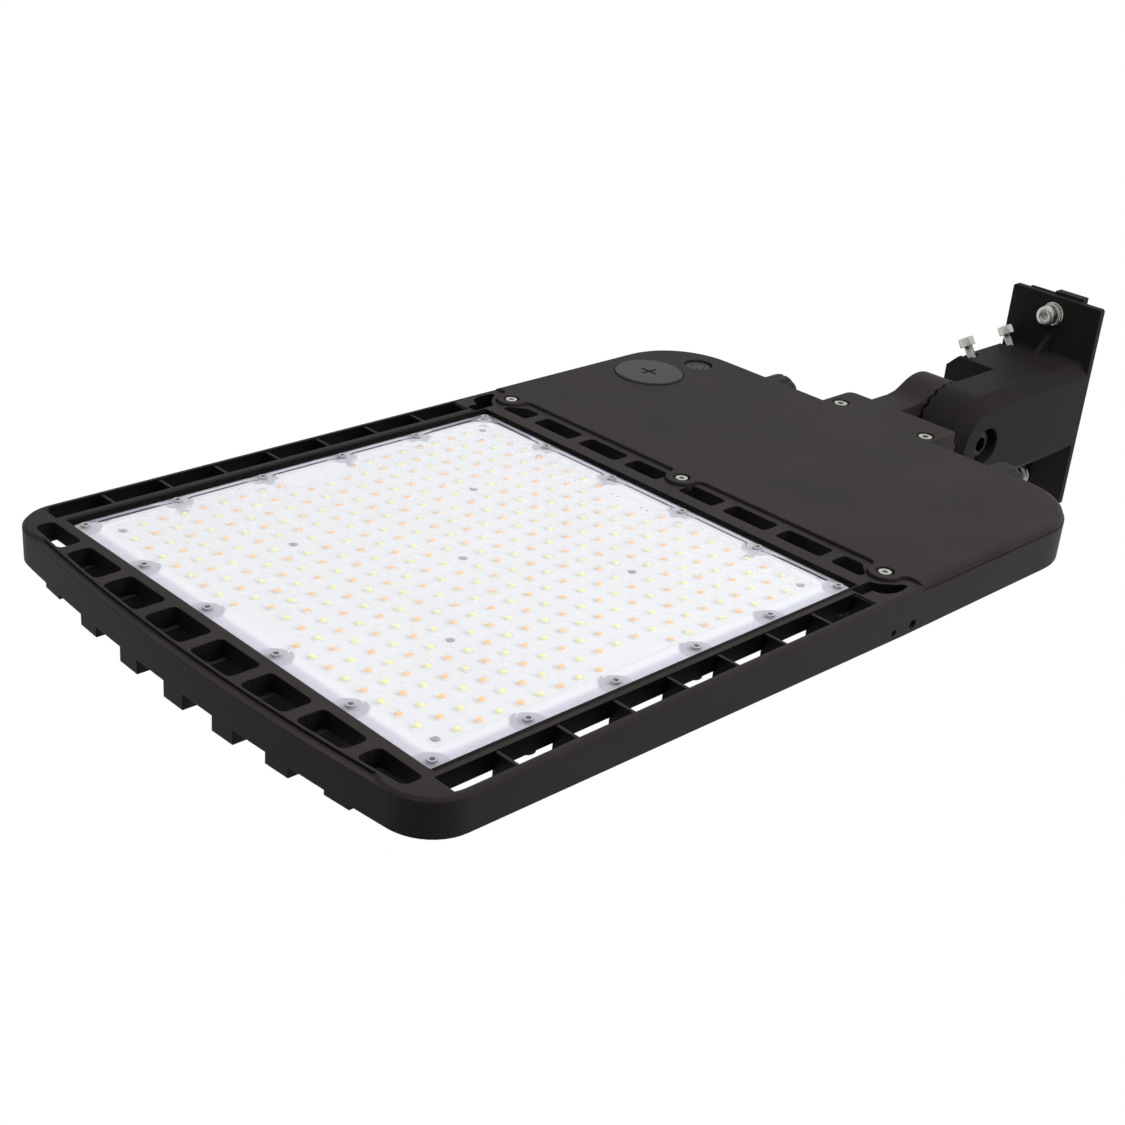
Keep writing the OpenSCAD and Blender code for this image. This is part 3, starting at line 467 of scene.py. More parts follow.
def seal_finish(name, colour, inner):
    """Silicone seal: pale under the raised middle of the lens, greyer outside and round each screw.

    The screws lie on a grid, so the distance from the nearest one comes from x and y folded back
    every half step of that grid.
    """
    g = material_graph(name)
    wall_in, wall_out = 0.1285, 0.1325  # where the raised middle of the lens ends
    ring_in, ring_out = 0.0078, 0.0092  # soft edge of the ring round a screw
    x, y, _ = g.split(g.coord)
    y = g.math("SUBTRACT", y, ARRAY_Y * MM)
    reach = g.math("MAXIMUM", g.math("ABSOLUTE", x), g.math("ABSOLUTE", y))
    step = SCREW_SPAN * MM / 5
    near = g.length(g.fold(x, step, step), g.fold(y, step, step))
    skin = g.noise(600, 2)
    tint = g.blend(g.span(skin, 0.35, 0.65), tone(colour, 0.95), tone(colour, 1.05))
    tint = g.blend(g.span(reach, wall_in, wall_out), inner, tint)
    tint = g.blend(g.span(near, ring_out, ring_in), tint, tone(colour, 0.78))
    rough = g.span(skin, 0.3, 0.7, 0.45, 0.56)
    return g.surface(Base_Color=tint, Roughness=rough, Normal=g.bump(skin, 0.00005, 0.6))


def board_finish(name, colour):
    """White solder mask over copper: raised tracks between the rows and a fine orange peel."""
    g = material_graph(name)
    half = PITCH * MM / 2
    x, y, _ = g.split(g.coord)
    across = g.fold(x, -half, half)
    along = g.fold(y, ARRAY_Y * MM - half, half)
    track = g.math("MINIMUM", g.span(across, 0.0007, 0.0012), g.span(along, 0.0007, 0.0012))
    peel = g.noise(800, 2)
    tint = g.blend(g.math("MULTIPLY", track, 0.5), tone(colour, 0.97), colour)
    height = g.math("ADD", track, g.math("MULTIPLY", peel, 0.2))
    return g.surface(
        Base_Color=tint,
        Roughness=g.span(peel, 0.3, 0.7, 0.32, 0.42),
        Normal=g.bump(height, 0.00005, 0.6),
        Specular_IOR_Level=0.4,
    )


def phosphor(name, colour):
    """LED phosphor in silicone: grainy, and paler away from the middle of each bead.

    The distance from the nearest LED comes from x and y folded back every half pitch.
    """
    g = material_graph(name)
    half = PITCH * MM / 2
    x, y, _ = g.split(g.coord)
    r = g.length(g.fold(x, 0, half), g.fold(y, ARRAY_Y * MM, half))
    pale = tuple(c + (0.93 - c) * 0.45 for c in colour[:3]) + (1.0,)
    grain = g.noise(3500, 2)
    tint = g.blend(g.span(grain, 0.35, 0.65), tone(colour, 0.92), tone(colour, 1.06))
    tint = g.blend(g.span(r, 0.0014, 0.0023), tint, pale)
    rough = g.span(grain, 0.3, 0.7, 0.28, 0.4)
    return g.surface(Base_Color=tint, Roughness=rough, Normal=g.bump(grain, 0.00003, 0.5))


def stripes(name, colour, second, scale=180):
    """Printed or extruded part: fine lines along X, from one colour to a second."""
    g = material_graph(name)
    lines = {"Vector": g.coord, "Scale": scale, "Distortion": 0.4}
    wave = g.add("ShaderNodeTexWave", {"bands_direction": "Y"}, **lines).outputs[1]
    tint = g.blend(g.span(wave, 0.2, 0.8), colour, second)
    rough = g.span(g.noise(300), 0.3, 0.7, 0.35, 0.5)
    return g.surface(Base_Color=tint, Roughness=rough, Normal=g.bump(wave, 0.00003, 0.5))


# Settings


def colour(label, text, value):
    return FloatVectorProperty(
        name=label, description=text, subtype="COLOR", size=4, min=0, max=1, default=value
    )


def length(label, text, value, low, high):
    return FloatProperty(
        name=label, description=text, default=value, min=low, max=high, unit="LENGTH", precision=4
    )


class StreetLightSizes(bpy.types.PropertyGroup):
    """Sizes of the visible detail that a user may change."""

    dome_radius: length("Dome radius", "Radius of a clear dome at its foot", 0.0043, 0.003, 0.0055)
    dome_height: length("Dome height", "Height of a clear dome", 0.0019, 0.0008, 0.0024)
    hollow_radius: length("Hollow radius", "Radius of a dome's hollow", 0.0029, 0.002, 0.004)
    hollow_depth: length("Hollow depth", "Depth of a dome's hollow", 0.0022, 0.001, 0.0045)
    step_height: length("Lens step", "Height of the lens's raised middle", 0.0012, 0.0004, 0.0016)
    chip_radius: length("Chip radius", "Radius of the bead on one LED", 0.0022, 0.001, 0.0026)
    chip_height: length("Chip height", "Height of the bead on one LED", 0.0026, 0.0002, 0.0030)
    floor_drop: length("Floor drop", "Depth of the floor below the arm's axis", 1.5, 0.6, 3.0)
    lens_length: FloatProperty(
        name="Focal length", description="Focal length of the camera in millimetres",
        default=56.5, min=20, max=200,
    )


class StreetLightColours(bpy.types.PropertyGroup):
    """Colours of the finishes, as linear light."""

    casting: colour("Casting", "Powder coat of the castings", (0.037, 0.0330, 0.0318, 1))
    cover: colour("Cover", "Powder coat of the driver cover", (0.034, 0.0300, 0.0287, 1))
    # painted shade: the arm's coat is a darker copy of the castings' powder coat
    arm: colour("Arm", "Powder coat of the arm", (0.0195, 0.0170, 0.0163, 1))
    trim: colour("Trim", "Black moulded parts", (0.014, 0.0134, 0.0134, 1))
    metal: colour("Screws", "Plated screws and washers", (0.62, 0.61, 0.58, 1))
    board: colour("Board", "Solder mask of the LED board", (0.735, 0.742, 0.744, 1))
    warm: colour("Warm chips", "Phosphor of the warm LEDs", (0.95, 0.58, 0.29, 1))
    cool: colour("Cool chips", "Phosphor of the cool LEDs", (0.87, 0.83, 0.40, 1))
    clear: colour("Lens", "Clear lens", (0.97, 0.98, 1.0, 1))
    floor: colour("Floor", "Floor under the light", (0.86, 0.86, 0.86, 1))


def sizes():
    return bpy.context.scene.street_light_sizes


def colours():
    return bpy.context.scene.street_light_colours


def shade(name):
    """The colour of that name as four plain numbers."""
    return tuple(getattr(colours(), name))


_finishes = {}


def finish(name):
    """The finish of that name, made when it is first asked for."""
    makers = {
        # maker, colour, then for powder_coat grain, edge and recess (share of the colour left as
        # painted shade on walls in the openings), for moulded rough, grain and shine, for plated
        # rough and metallic
        "casting": (powder_coat, shade("casting"), 1.0, 0.0011, 0.3),
        "cover_coat": (powder_coat, shade("cover"), 0.8, 0.0016),
        # painted shade: the arm and nut plates take a darker copy of the castings' coat
        "arm_coat": (powder_coat, shade("arm"), 1.1, 0.0014),
        "black_nylon": (moulded, shade("trim"), 0.5, 900, 0.22),
        "cap_plastic": (moulded, tone(shade("trim"), 2.4), 0.42, 1300, 0.2),
        "black_rubber": (moulded, (0.018, 0.018, 0.018, 1), 0.7, 500, 0.2),
        "grey_silicone": (seal_finish, (0.54, 0.54, 0.60, 1), shade("board")),
        "zinc": (plated, shade("metal"), 0.28),
        "bright_steel": (plated, (0.70, 0.70, 0.69, 1), 0.22),
        "stainless": (plated, (0.55, 0.55, 0.57, 1), 0.3, 0.5),
        "board_steel": (plated, (0.42, 0.42, 0.44, 1), 0.4, 0.5),
        "black_oxide": (plated, (0.035, 0.034, 0.034, 1), 0.42),
        "driver_case": (stripes, (0.55, 0.56, 0.58, 1), (0.62, 0.63, 0.64, 1)),
        "clear_lens": (clear_plastic, shade("clear")),
        "solder_mask": (board_finish, shade("board")),
        "led_body": (moulded, (0.86, 0.86, 0.84, 1), 0.4, 2000),
        "phosphor_warm": (phosphor, shade("warm")),
        "phosphor_cool": (phosphor, shade("cool")),
        "blue_resin": (moulded, (0.03, 0.08, 0.32, 1), 0.35, 400),
        "white_nylon": (moulded, (0.72, 0.72, 0.69, 1), 0.45, 700),
        "white_cable": (moulded, (0.7, 0.7, 0.68, 1), 0.5, 500),
        "green_board": (stripes, (0.01, 0.12, 0.05, 1), (0.02, 0.17, 0.07, 1), 90),
        "green_enamel": (moulded, (0.03, 0.28, 0.08, 1), 0.3),
        "red_plastic": (moulded, (0.5, 0.03, 0.02, 1), 0.35),
        "orange_plastic": (moulded, (0.75, 0.22, 0.02, 1), 0.35),
    }
    if name not in _finishes:
        maker, *looks = makers[name]
        _finishes[name] = maker(name, *looks)
    return _finishes[name]


# Shapes


def socket_screw(head_r, head_h, socket, depth, edge=0.3, sides=24, knurl=0.0, shank=0.0):
    """Screw head from z 0 up to head_h, with a hexagonal socket, as rings of one lathe.

    The rings run from the middle of the underside, out, up the wall, over the edge, in to the
    socket and down it. A knurl makes the wall's radius a triangle wave of the angle.
    """
    profile = [(0, -shank), (socket + 0.25, -shank), (socket + 0.25, 0)] if shank else [(0, 0)]
    profile += [(head_r - 0.15, 0)]
    wall = len(profile)
    profile += [(head_r, 0.2), (head_r, head_h - edge)]
    profile += [(head_r - edge * 0.3, head_h - edge * 0.3), (head_r - edge, head_h)]
    well = len(profile)
    profile += [(socket * 1.2, head_h), (socket, head_h - 0.15), (socket, head_h - depth)]
    profile += [(0, head_h - depth - 0.1)]
    radii = np.ones((len(profile), sides))
    radii[well : well + 3] = hexagonal(sides) / HEX_MIDDLE
    if knurl:
        wave = np.abs((np.arange(sides) * 0.5) % 1 * 2 - 1)
        radii[wall : wall + 2] = 1 + knurl / head_r * (wave * 2 - 1)
    return lathe(profile, sides, radii)


def threaded_rod(radius, length, pitch=1.0):
    """Rod whose radius is a triangle wave of its length: the crests and roots of a thread."""
    steps = int(length / pitch) * 2
    z = np.linspace(0, length, steps + 1)
    r = radius - 0.12 * pitch * (1 + np.cos(np.arange(steps + 1) * math.pi))
    profile = np.concatenate([[(0, 0)], np.stack([r, z], 1), [(0, length)]])
    return lathe(profile, 20)


def split_ring(inner, outer, thick, gap=0.12, rise=0.5, steps=40):
    """Spring washer: a rectangle carried round the axis while it climbs by rise, with a gap."""
    t = np.linspace(0, 1, steps)
    a = gap / 2 + t * (TAU - gap)
    corner = np.array([(inner, 0), (outer, 0), (outer, thick), (inner, thick)])
    r = corner[None, :, 0]
    z = corner[None, :, 1] + (t[:, None] - 0.5) * rise
    points = np.stack([r * np.cos(a)[:, None], r * np.sin(a)[:, None], z], -1).reshape(-1, 3)
    ends = np.array([[3, 2, 1, 0], [(steps - 1) * 4 + k for k in range(4)]])
    return points, np.concatenate([quads(steps, 4), ends])


def led_body_shape(half=2.4, height=0.62):
    """LED package: a square with its corners cut, which narrows a little towards its face."""
    a = math.pi / 8 + np.arange(8) * TAU / 8
    reach = half / math.cos(math.pi / 8) * 1.25
    ring = np.clip(np.stack([reach * np.cos(a), reach * np.sin(a)], 1), -half, half)
    face = BOARD_OUT - height
    levels = [(1.0, BOARD_OUT + 0.02), (1.0, face + 0.12), (0.93, face), (0.0, face)]
    points = np.concatenate([np.c_[ring * k, np.full(8, z)] for k, z in levels])
    return points, quads(len(levels), 8)


def chip_shape(radius, height, foot, sides=12):
    """Silicone bead of one LED, closed below: height at r is height * sqrt(1 - (r / radius)^2)."""
    share = np.array([0.0, 1.0, 0.95, 0.78, 0.45, 0.0])
    rise = np.sqrt(1 - share**2)
    rise[0] = 0
    return lathe(np.stack([radius * share, foot - height * rise], 1), sides)


def lens_cell(kind, level, radius, rise, sides=12):
    """One square of the lens: a ring of points on the square, then a dome, a recess or nothing.

    Dome: the height at distance r is rise * sqrt(1 - (r / radius)^2), half an ellipse. Recess:
    a flat-bottomed round pocket over a board screw. Heights count towards -Z from level.
    """
    a = (np.arange(sides) + 0.5) * TAU / sides
    half = PITCH / 2
    square = half / np.maximum(np.abs(np.cos(a)), np.abs(np.sin(a)))
    shares = np.array([1.0, 0.93, 0.72, 0.4, 0.0])
    rings = {
        "dome": zip(radius * shares, rise * np.sqrt(1 - shares**2)),
        "recess": ((3.7, 0.0), (3.5, -0.9), (0.0, -0.9)),
        "flat": ((0.0, 0.0),),
    }[kind]
    rows = [np.stack([square * np.cos(a), square * np.sin(a), np.full(sides, level)], 1)]
    for r, h in rings:
        rows.append(np.stack([r * np.cos(a), r * np.sin(a), np.full(sides, level - h)], 1))
    faces = quads(len(rows), sides).tolist()
    corners = []
    for c in range(4):
        mid = math.pi / 4 + c * math.pi / 2
        gap = np.abs((a - mid + math.pi) % TAU - math.pi)
        near = np.sort(np.argsort(gap, kind="stable")[:2]).tolist()
        corners.append((half * np.sign(math.cos(mid)), half * np.sign(math.sin(mid)), level))
        faces.append([near[0], len(rows) * sides + c, near[1], near[1]])
    return np.concatenate(rows + [np.array(corners)]), np.array(faces)


def wall_path():
    """Foot of the lens's step: a square that bends inwards round each screw.

    Along one side the path lies at half less a depth. The depth is dip at a screw and falls to
    nothing as a cosine does over reach. From a corner it falls in the same way over turn.
    """
    half, dip, reach, turn = 131.6, 4.2, 7.6, 13.5
    s = np.linspace(-half, half, 241)[:-1]
    near = np.min(np.abs(s[:, None] - SCREW_ROW[None, 1:-1]), 1)
    depth = dip * (0.5 + 0.5 * np.cos(np.clip(near / reach, 0, 1) * math.pi))
    end = np.clip((half - np.abs(s)) / turn, 0, 1)
    depth = np.maximum(depth, dip * (0.5 + 0.5 * np.cos(end * math.pi)))
    path = [np.stack([np.clip(s, dip - half, half - dip), depth - half], 1)]
    for _ in range(3):
        path.append(np.stack([-path[-1][:, 1], path[-1][:, 0]], 1))
    return np.concatenate(path)


def round_square(half, radius, z):
    """Points of a square with round corners: four quarter circles joined by straight lines."""
    a = np.linspace(0, math.pi / 2, 8)
    flat = []
    for c, signs in enumerate(((1, 1), (-1, 1), (-1, -1), (1, -1))):
        turn = a + c * math.pi / 2
        arc = radius * np.stack([np.cos(turn), np.sin(turn)], 1)
        flat.append((half - radius) * np.array(signs) + arc)
    flat = np.concatenate(flat)
    return np.c_[flat, np.full(len(flat), z)]


def clear_lens_object(name, material):
    """The lens as one closed shell: flange, sloped step, domed cells, round rim, hollow back."""
    s = sizes()
    plate, back = LENS_OUT, LENS_IN - 0.1
    top = plate - s.step_height / MM
    slope, hole, hole_sides = 1.15, 1.7, 16
    work = bmesh.new()

    def ring(points):
        verts = [work.verts.new((x * MM, (y + ARRAY_Y) * MM, z * MM)) for x, y, z in points]
        return verts, [work.edges.new((verts[i - 1], verts[i])) for i in range(len(verts))]

    def bridge(*rings):
        for a, b in zip(rings, rings[1:]):
            for i in range(len(a)):
                work.faces.new((a[i - 1], a[i], b[i], b[i - 1]))

    def fill(edges):
        bmesh.ops.triangle_fill(
            work, use_beauty=True, use_dissolve=False, edges=edges, normal=(0, 0, -1)
        )

    def cells(level, radius, rise, recess):
        """The cells of the whole array, and the edges round their outside."""
        made = {}
        for i in range(GRID):
            for j in range(GRID):
                kind = "dome" if led_here(i, j) else "flat"
                if recess and board_screw_here(i, j):
                    kind = "recess"
                points, faces = lens_cell(kind, level, radius, rise)
                verts = []
                for p in points + array_place(i, j):
                    key = tuple(np.round(p, 3))
                    if key not in made:
                        made[key] = work.verts.new(p * MM)
                    verts.append(made[key])
                for face in faces:
                    corners = list(dict.fromkeys(verts[k] for k in face))
                    if len(corners) > 2:
                        work.faces.new(corners)
        own = set(made.values())
        return [e for e in work.edges if len(e.link_faces) == 1 and own.issuperset(e.verts)]

    path = wall_path()
    inward = path / np.max(np.abs(path), 1)[:, None] * slope
    wall = []
    for k, h in ((0.0, 0.0), (0.25, 0.14), (0.75, 0.86), (1.0, 1.0)):
        height = np.full(len(path), plate + (top - plate) * h)
        wall.append(ring(np.c_[path - inward * k, height]))
    bridge(*[r[0] for r in wall])
    rounds = ((0.6, 4.4, plate), (0.17, 4.8, plate + 0.17), (0, 5.0, plate + 0.6), (0, 5.0, back))
    rim = [ring(round_square(LENS_HALF - inset, radius, z)) for inset, radius, z in rounds]
    bridge(*[r[0] for r in rim])
    out_holes, back_holes = [], []
    a = np.arange(hole_sides) * TAU / hole_sides
    for x, y, _ in lens_screw_places():
        circle = np.stack([x + hole * np.cos(a), y - ARRAY_Y + hole * np.sin(a)], 1)
        near, far = (ring(np.c_[circle, np.full(hole_sides, z)]) for z in (plate, back))
        bridge(near[0], far[0])
        out_holes += near[1]
        back_holes += far[1]
    fill(rim[0][1] + wall[0][1] + out_holes)
    fill(wall[-1][1] + cells(top, s.dome_radius / MM, s.dome_height / MM, True))
    fill(rim[-1][1] + back_holes + cells(back, s.hollow_radius / MM, s.hollow_depth / MM, False))
    bmesh.ops.recalc_face_normals(work, faces=work.faces)
    loose = sum(len(e.link_faces) != 2 for e in work.edges)
    if loose:
        raise RuntimeError(f"the lens shell has {loose} open edges")
    return mesh_object(bpy.data.meshes.new(name), work, material, 38)


def slabs(rectangles, z0, z1):
    """Thin flat blocks, one for each (x0, y0, x1, y1), as one shape."""
    square = ((0, 0), (1, 0), (1, 1), (0, 1))
    unit = np.array([(x, y, z) for z in (0, 1) for x, y in square], float)
    faces = np.concatenate([[(0, 3, 2, 1), (4, 5, 6, 7)], quads(2, 4)])
    blocks = []
    for x0, y0, x1, y1 in rectangles:
        blocks.append((unit * (x1 - x0, y1 - y0, z1 - z0) + (x0, y0, z0), faces))
    return join(*blocks)


def wedge(x0, x1, y0, y1, z_foot, z_top):
    """Prism along X whose upper side climbs in a straight line from z_foot at y0 to z_top at y1."""
    corner = np.array([(y0, z_foot + 0.02), (y0, z_foot), (y1, z_top), (y1, z_foot + 0.02)])
    points = np.concatenate([np.c_[np.full(4, x), corner] for x in (x0, x1)])
    return points, np.concatenate([quads(2, 4), [[3, 2, 1, 0], [4, 5, 6, 7]]])


def seal_strip():
    """Pale seal under the lens's flange: four strips set round the array like a pinwheel.

    Two of them are slotted between the screws. Each has a lip down to the board, which slopes
    on the slotted strips and stands upright on the plain ones.
    """
    inner, slot_in, slot_out, outer = 126.32, 134.3, 135.7, 138.5  # from the array's middle
    keep = 8.5  # half of the bridge left at each screw
    lip_out, step_in, slope_in = 126.3, 125.2, 122.6
    lens_side, board_side = LENS_IN - 0.05, BOARD_OUT - 0.02
    plain = [(-outer, inner, inner, outer)]
    slotted = [(-outer, inner, inner, slot_in), (-outer, slot_out, inner, outer)]
    slotted += [(x - keep, slot_in, x + keep, slot_out) for x in SCREW_ROW[1:-1]]
    slotted += [(-outer, slot_in, keep - SCREW_SPAN, slot_out)]
    slotted += [(SCREW_SPAN - keep, slot_in, inner, slot_out)]
    step = slabs([(-lip_out, step_in, step_in - 0.01, lip_out)], lens_side, board_side)
    slope = wedge(-lip_out, lip_out, slope_in, lip_out, board_side, lens_side)
    shapes = []
    for c in range(4):
        co, si = round(math.cos(c * math.pi / 2)), round(math.sin(c * math.pi / 2))
        bars, lip = (slotted, slope) if c in (0, 3) else (plain, step)
        points, faces = join(slabs(bars, LENS_IN - 0.09, LENS_IN - 0.02), lip)
        x, y, z = points.T
        shapes.append((np.stack([co * x - si * y, si * x + co * y + ARRAY_Y, z], 1), faces))
    return join(*shapes)


# Operators


def dress(finish_name, *nodes):
    """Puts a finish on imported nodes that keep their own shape."""
    made = finish(finish_name)
    for node in nodes:
        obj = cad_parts[node]
        if obj.material_slots:
            for holder in obj.material_slots:
                holder.material = made
        else:
            obj.data.materials.append(made)


def row_seats(node, radius, height, shares):
    """Seats of a mirrored row of screw heads, from their node's box.

    shares are the screws' places as shares of the outer one's x. The seat lies height above
    the box's lowest point.
    """
    low, high = node_box(node)
    x = float(high[0]) - radius
    y = float(low[1] + high[1]) / 2
    return [(share * x, y, float(low[2]) + height) for share in shares]


class SL_OT_castings(bpy.types.Operator):
    """Coats the head casting, the cover, the knuckle base, the arm and the nut plates."""

    bl_idname = "street_light.castings"
    bl_label = "Castings"

    def execute(self, context):
        dress("casting", "housing")
        dress("cover_coat", "driver_cover", "knuckle_base")
        dress("arm_coat", "arm", "nut_plates")
        return {"FINISHED"}


class SL_OT_lens(bpy.types.Operator):
    """Builds the clear lens with a dome over each LED."""

    bl_idname = "street_light.lens"
    bl_label = "Clear lens"

    def execute(self, context):
        piece = clear_lens_object("domed_lens", finish("clear_lens"))
        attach(piece, "head")
        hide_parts("lens")
        return {"FINISHED"}


class SL_OT_leds(bpy.types.Operator):
    """Coats the board and builds its LEDs, warm and cool, its solder joints and the seal."""

    bl_idname = "street_light.leds"
    bl_label = "LED array"

    def execute(self, context):
        dress("solder_mask", "led_board")
        seal = seal_strip()
        add_piece("lens_seal", seal, "grey_silicone", "head", "seal_grey", ("lens_gasket",))
        rear_pad = [(x, ARRAY_Y + LED_MID * PITCH, 0) for x in (-13, -9, 9, 13)]
        joints = repeat(chip_shape(0.9, 0.6, BOARD_OUT), rear_pad)
        add_piece("solder_joints", joints, "stainless", "head", "zinc")
        body = led_body_shape()
        face = float(body[0][-1, 2])
        chip = chip_shape(sizes().chip_radius / MM, sizes().chip_height / MM, face)
        for label, parity in (("warm", 0), ("cool", 1)):
            bodies, chips = (repeat(shape, led_places(parity)) for shape in (body, chip))
            add_piece(f"led_packages_{label}", bodies, "led_body", "head", "white_plastic",
                      (f"leds_{label}",))
            add_piece(f"phosphor_{label}", chips, f"phosphor_{label}", "head", f"led_{label}")
        return {"FINISHED"}


class SL_OT_head_screws(bpy.types.Operator):
    """Builds the screws of the lens, the board, the cover and the knuckle base."""

    bl_idname = "street_light.head_screws"
    bl_label = "Head screws"

    def execute(self, context):
        on_lens = lens_screw_places() + (0, 0, LENS_OUT)
        on_board = board_screw_places() + (0, 0, BOARD_OUT)
        on_cover = row_seats("cover_screws", 3.5, 2.6, (-1, 0, 1))
        on_base = row_seats("base_screws", 4.25, 3.8, (-1, 1))
        groups = (
            # node, finish, head radius and height, socket radius and depth, shank, seats
            ("lens_screws", "stainless", 2.5, 0.9, 1.3, 1.6, 1.1, on_lens),
            ("board_screws", "board_steel", 1.9, 1.35, 0.8, 0.8, 0.0, on_board),
            ("cover_screws", "zinc", 3.5, 2.6, 1.5, 1.5, 0.0, on_cover),
            ("base_screws", "zinc", 4.25, 3.8, 2.0, 2.2, 0.0, on_base),
        )
        for node, metal, r, h, socket, depth, shank, places in groups:
            shape = aim(socket_screw(r, h, socket, depth, shank=shank), (0, 0, -1))
            heads = repeat(shape, places)
            add_piece(node + "_heads", heads, metal, "head", "zinc", (node,))
        return {"FINISHED"}


class SL_OT_arm_fasteners(bpy.types.Operator):
    """Builds the knurled clamp screws, the plate bolts with their washers, and the pivot bolt."""

    bl_idname = "street_light.arm_fasteners"
    bl_label = "Arm fasteners"

    def execute(self, context):
        lean = math.radians(34.7)  # of the clamp screws, from straight down
        reach = 47  # of their seats, from the arm's axis
        away = np.array([math.sin(lean), 0, -math.cos(lean)])
        for label, y in (("front", -62.4), ("rear", -14.4)):
            seat = np.array([0, y, 0]) + away * reach
            head = aim(socket_screw(5, 6, 2.5, 3.2, 0.6, 72, 0.22), away, seat)
            rod = aim(threaded_rod(3, 15.4), -away, seat + away * 0.1)
            add_piece(f"clamp_{label}", join(head, rod), "zinc", f"clamp_{label}", "zinc",
                      (f"clamp_screw_{label}",))
        out = (0, -1, 0)
        plate_face, bolt_z = -5, 60
        seats = [(0, plate_face, s * bolt_z) for s in (-1, 1)]
        bolt = aim(socket_screw(6.5, 8, 3, 4.5, 0.7, 72, 0.2), out, (0, -3.6, 0))
        rod = aim(threaded_rod(4, 19.5, 1.25), (0, 1, 0), (0, -3.7, 0))
        bolts = repeat(join(bolt, rod), seats)
        add_piece("plate_bolt_set", bolts, "zinc", "arm", "zinc", ("plate_bolts",))
        rings = repeat(aim(split_ring(4.3, 7.4, 1.5), out, (0, -1.85, 0)), seats)
        add_piece("split_washers", rings, "bright_steel", "arm", "zinc", ("spring_washers",))
        profile = [(4.25, 0), (7.8, 0), (8, 0.2), (8, 1.4), (7.8, 1.6), (4.25, 1.6), (4.25, 0)]
        flats = repeat(aim(lathe(profile, 40), out), seats)
        add_piece("plain_washers", flats, "zinc", "arm", "zinc", ("flat_washers",))
        low, high = node_box("pivot_bolt")
        left, right = float(low[0]), float(high[0])
        y = float(low[1] + high[1]) / 2
        tall = 11
        head = aim(socket_screw(9, tall, 5, 6, 0.9, 72, 0.25), (-1, 0, 0), (left + tall, y, 0))
        rod = threaded_rod(6, right - left - tall, 1.75)
        rod = aim(rod, (1, 0, 0), (left + tall - 0.1, y, 0))
        bolt = join(head, rod)
        add_piece("pivot_bolt_set", bolt, "black_oxide", "arm", "zinc", ("pivot_bolt",))
        dress("zinc", "pivot_washer", "pivot_nut")
        return {"FINISHED"}


class SL_OT_glands(bpy.types.Operator):
    """Builds the cable glands: hexagonal bodies, fluted nuts and rubber plugs."""

    bl_idname = "street_light.glands"
    bl_label = "Cable glands"

    def execute(self, context):
        low, high = node_box("gland_nuts")
        nut_radius, nut_foot = 14.2, 9
        x = float(high[0]) - nut_radius
        z = float(low[2] + high[2]) / 2
        wall = float(low[1]) - nut_foot
        body = [(6.5, 0.05), (11.4, 0.05), (12, 0.6), (12, 8), (11.2, 8.6), (9.3, 8.6), (9.3, 19),
                (6.5, 19), (6.5, 0.05)]
        hexagon = np.ones((len(body), 48))
        hexagon[1:5] = hexagonal(48)
        nut = [(9.5, nut_foot), (13.4, nut_foot), (nut_radius, 9.8), (nut_radius, 24),
               (13.9, 25.6), (12.6, 27.6), (10.4, 29.6), (9.6, 29.9), (6.9, 29.9), (6.4, 29.3),
               (6.4, 22), (9.5, 21), (9.5, nut_foot)]
        flute = 1 - 0.06 * np.clip(np.cos(np.arange(96) * TAU / 96 * 12) * 1.6 - 0.6, 0, 1)
        fluted = np.ones((len(nut), 96))
        fluted[1:5] = flute
        fluted[5] = 0.5 + 0.5 * flute
        plug = [(0, 20), (6.1, 20), (6.1, 29.9), (7.2, 30.0), (7.4, 30.3), (7.2, 30.9), (6.4, 31.2),
                (3.4, 31.2), (2.6, 30.6), (2.4, 28), (0, 27.6)]
        groups = (
            # piece, profile, sides, radii, finish, slot, node
            ("gland_hexagons", body, 48, hexagon, "black_nylon", "black_plastic", "gland_bodies"),
            ("gland_caps", nut, 96, fluted, "black_nylon", "black_plastic", "gland_nuts"),
            ("gland_stoppers", plug, 32, None, "black_rubber", "seal_black", "gland_plugs"),
        )
        for name, profile, sides, radii, look, slot, node in groups:
            shape = aim(lathe(profile, sides, radii), (0, 1, 0))
            pair = repeat(shape, [(s * x, wall, z) for s in (-1, 1)])
            add_piece(name, pair, look, "head", slot, (node,))
        dress("black_nylon", "gland_locknuts")
        return {"FINISHED"}


class SL_OT_cap_and_vent(bpy.types.Operator):
    """Finishes the round access cap, its seal, the slide switches behind it and the vent."""

    bl_idname = "street_light.cap_and_vent"
    bl_label = "Cap and vent"

    def execute(self, context):
        dress("cap_plastic", "access_cap", "vent_plug")
        dress("black_rubber", "cap_seal", "cover_gasket", "lead_grommet")
        dress("black_nylon", "selector_cup", "vent_nut")
        dress("green_board", "selector_board")
        dress("red_plastic", "power_slider")
        dress("orange_plastic", "colour_slider")
        return {"FINISHED"}


class SL_OT_inner_parts(bpy.types.Operator):
    """Finishes the parts inside the driver box."""

    bl_idname = "street_light.inner_parts"
    bl_label = "Inner parts"

    def execute(self, context):
        dress("driver_case", "led_driver")
        dress("zinc", "driver_screws")
        dress("blue_resin", "surge_protector")
        dress("white_nylon", "terminal_block")
        dress("green_enamel", "earth_screw")
        dress("white_cable", "output_lead", "supply_lead")
        return {"FINISHED"}


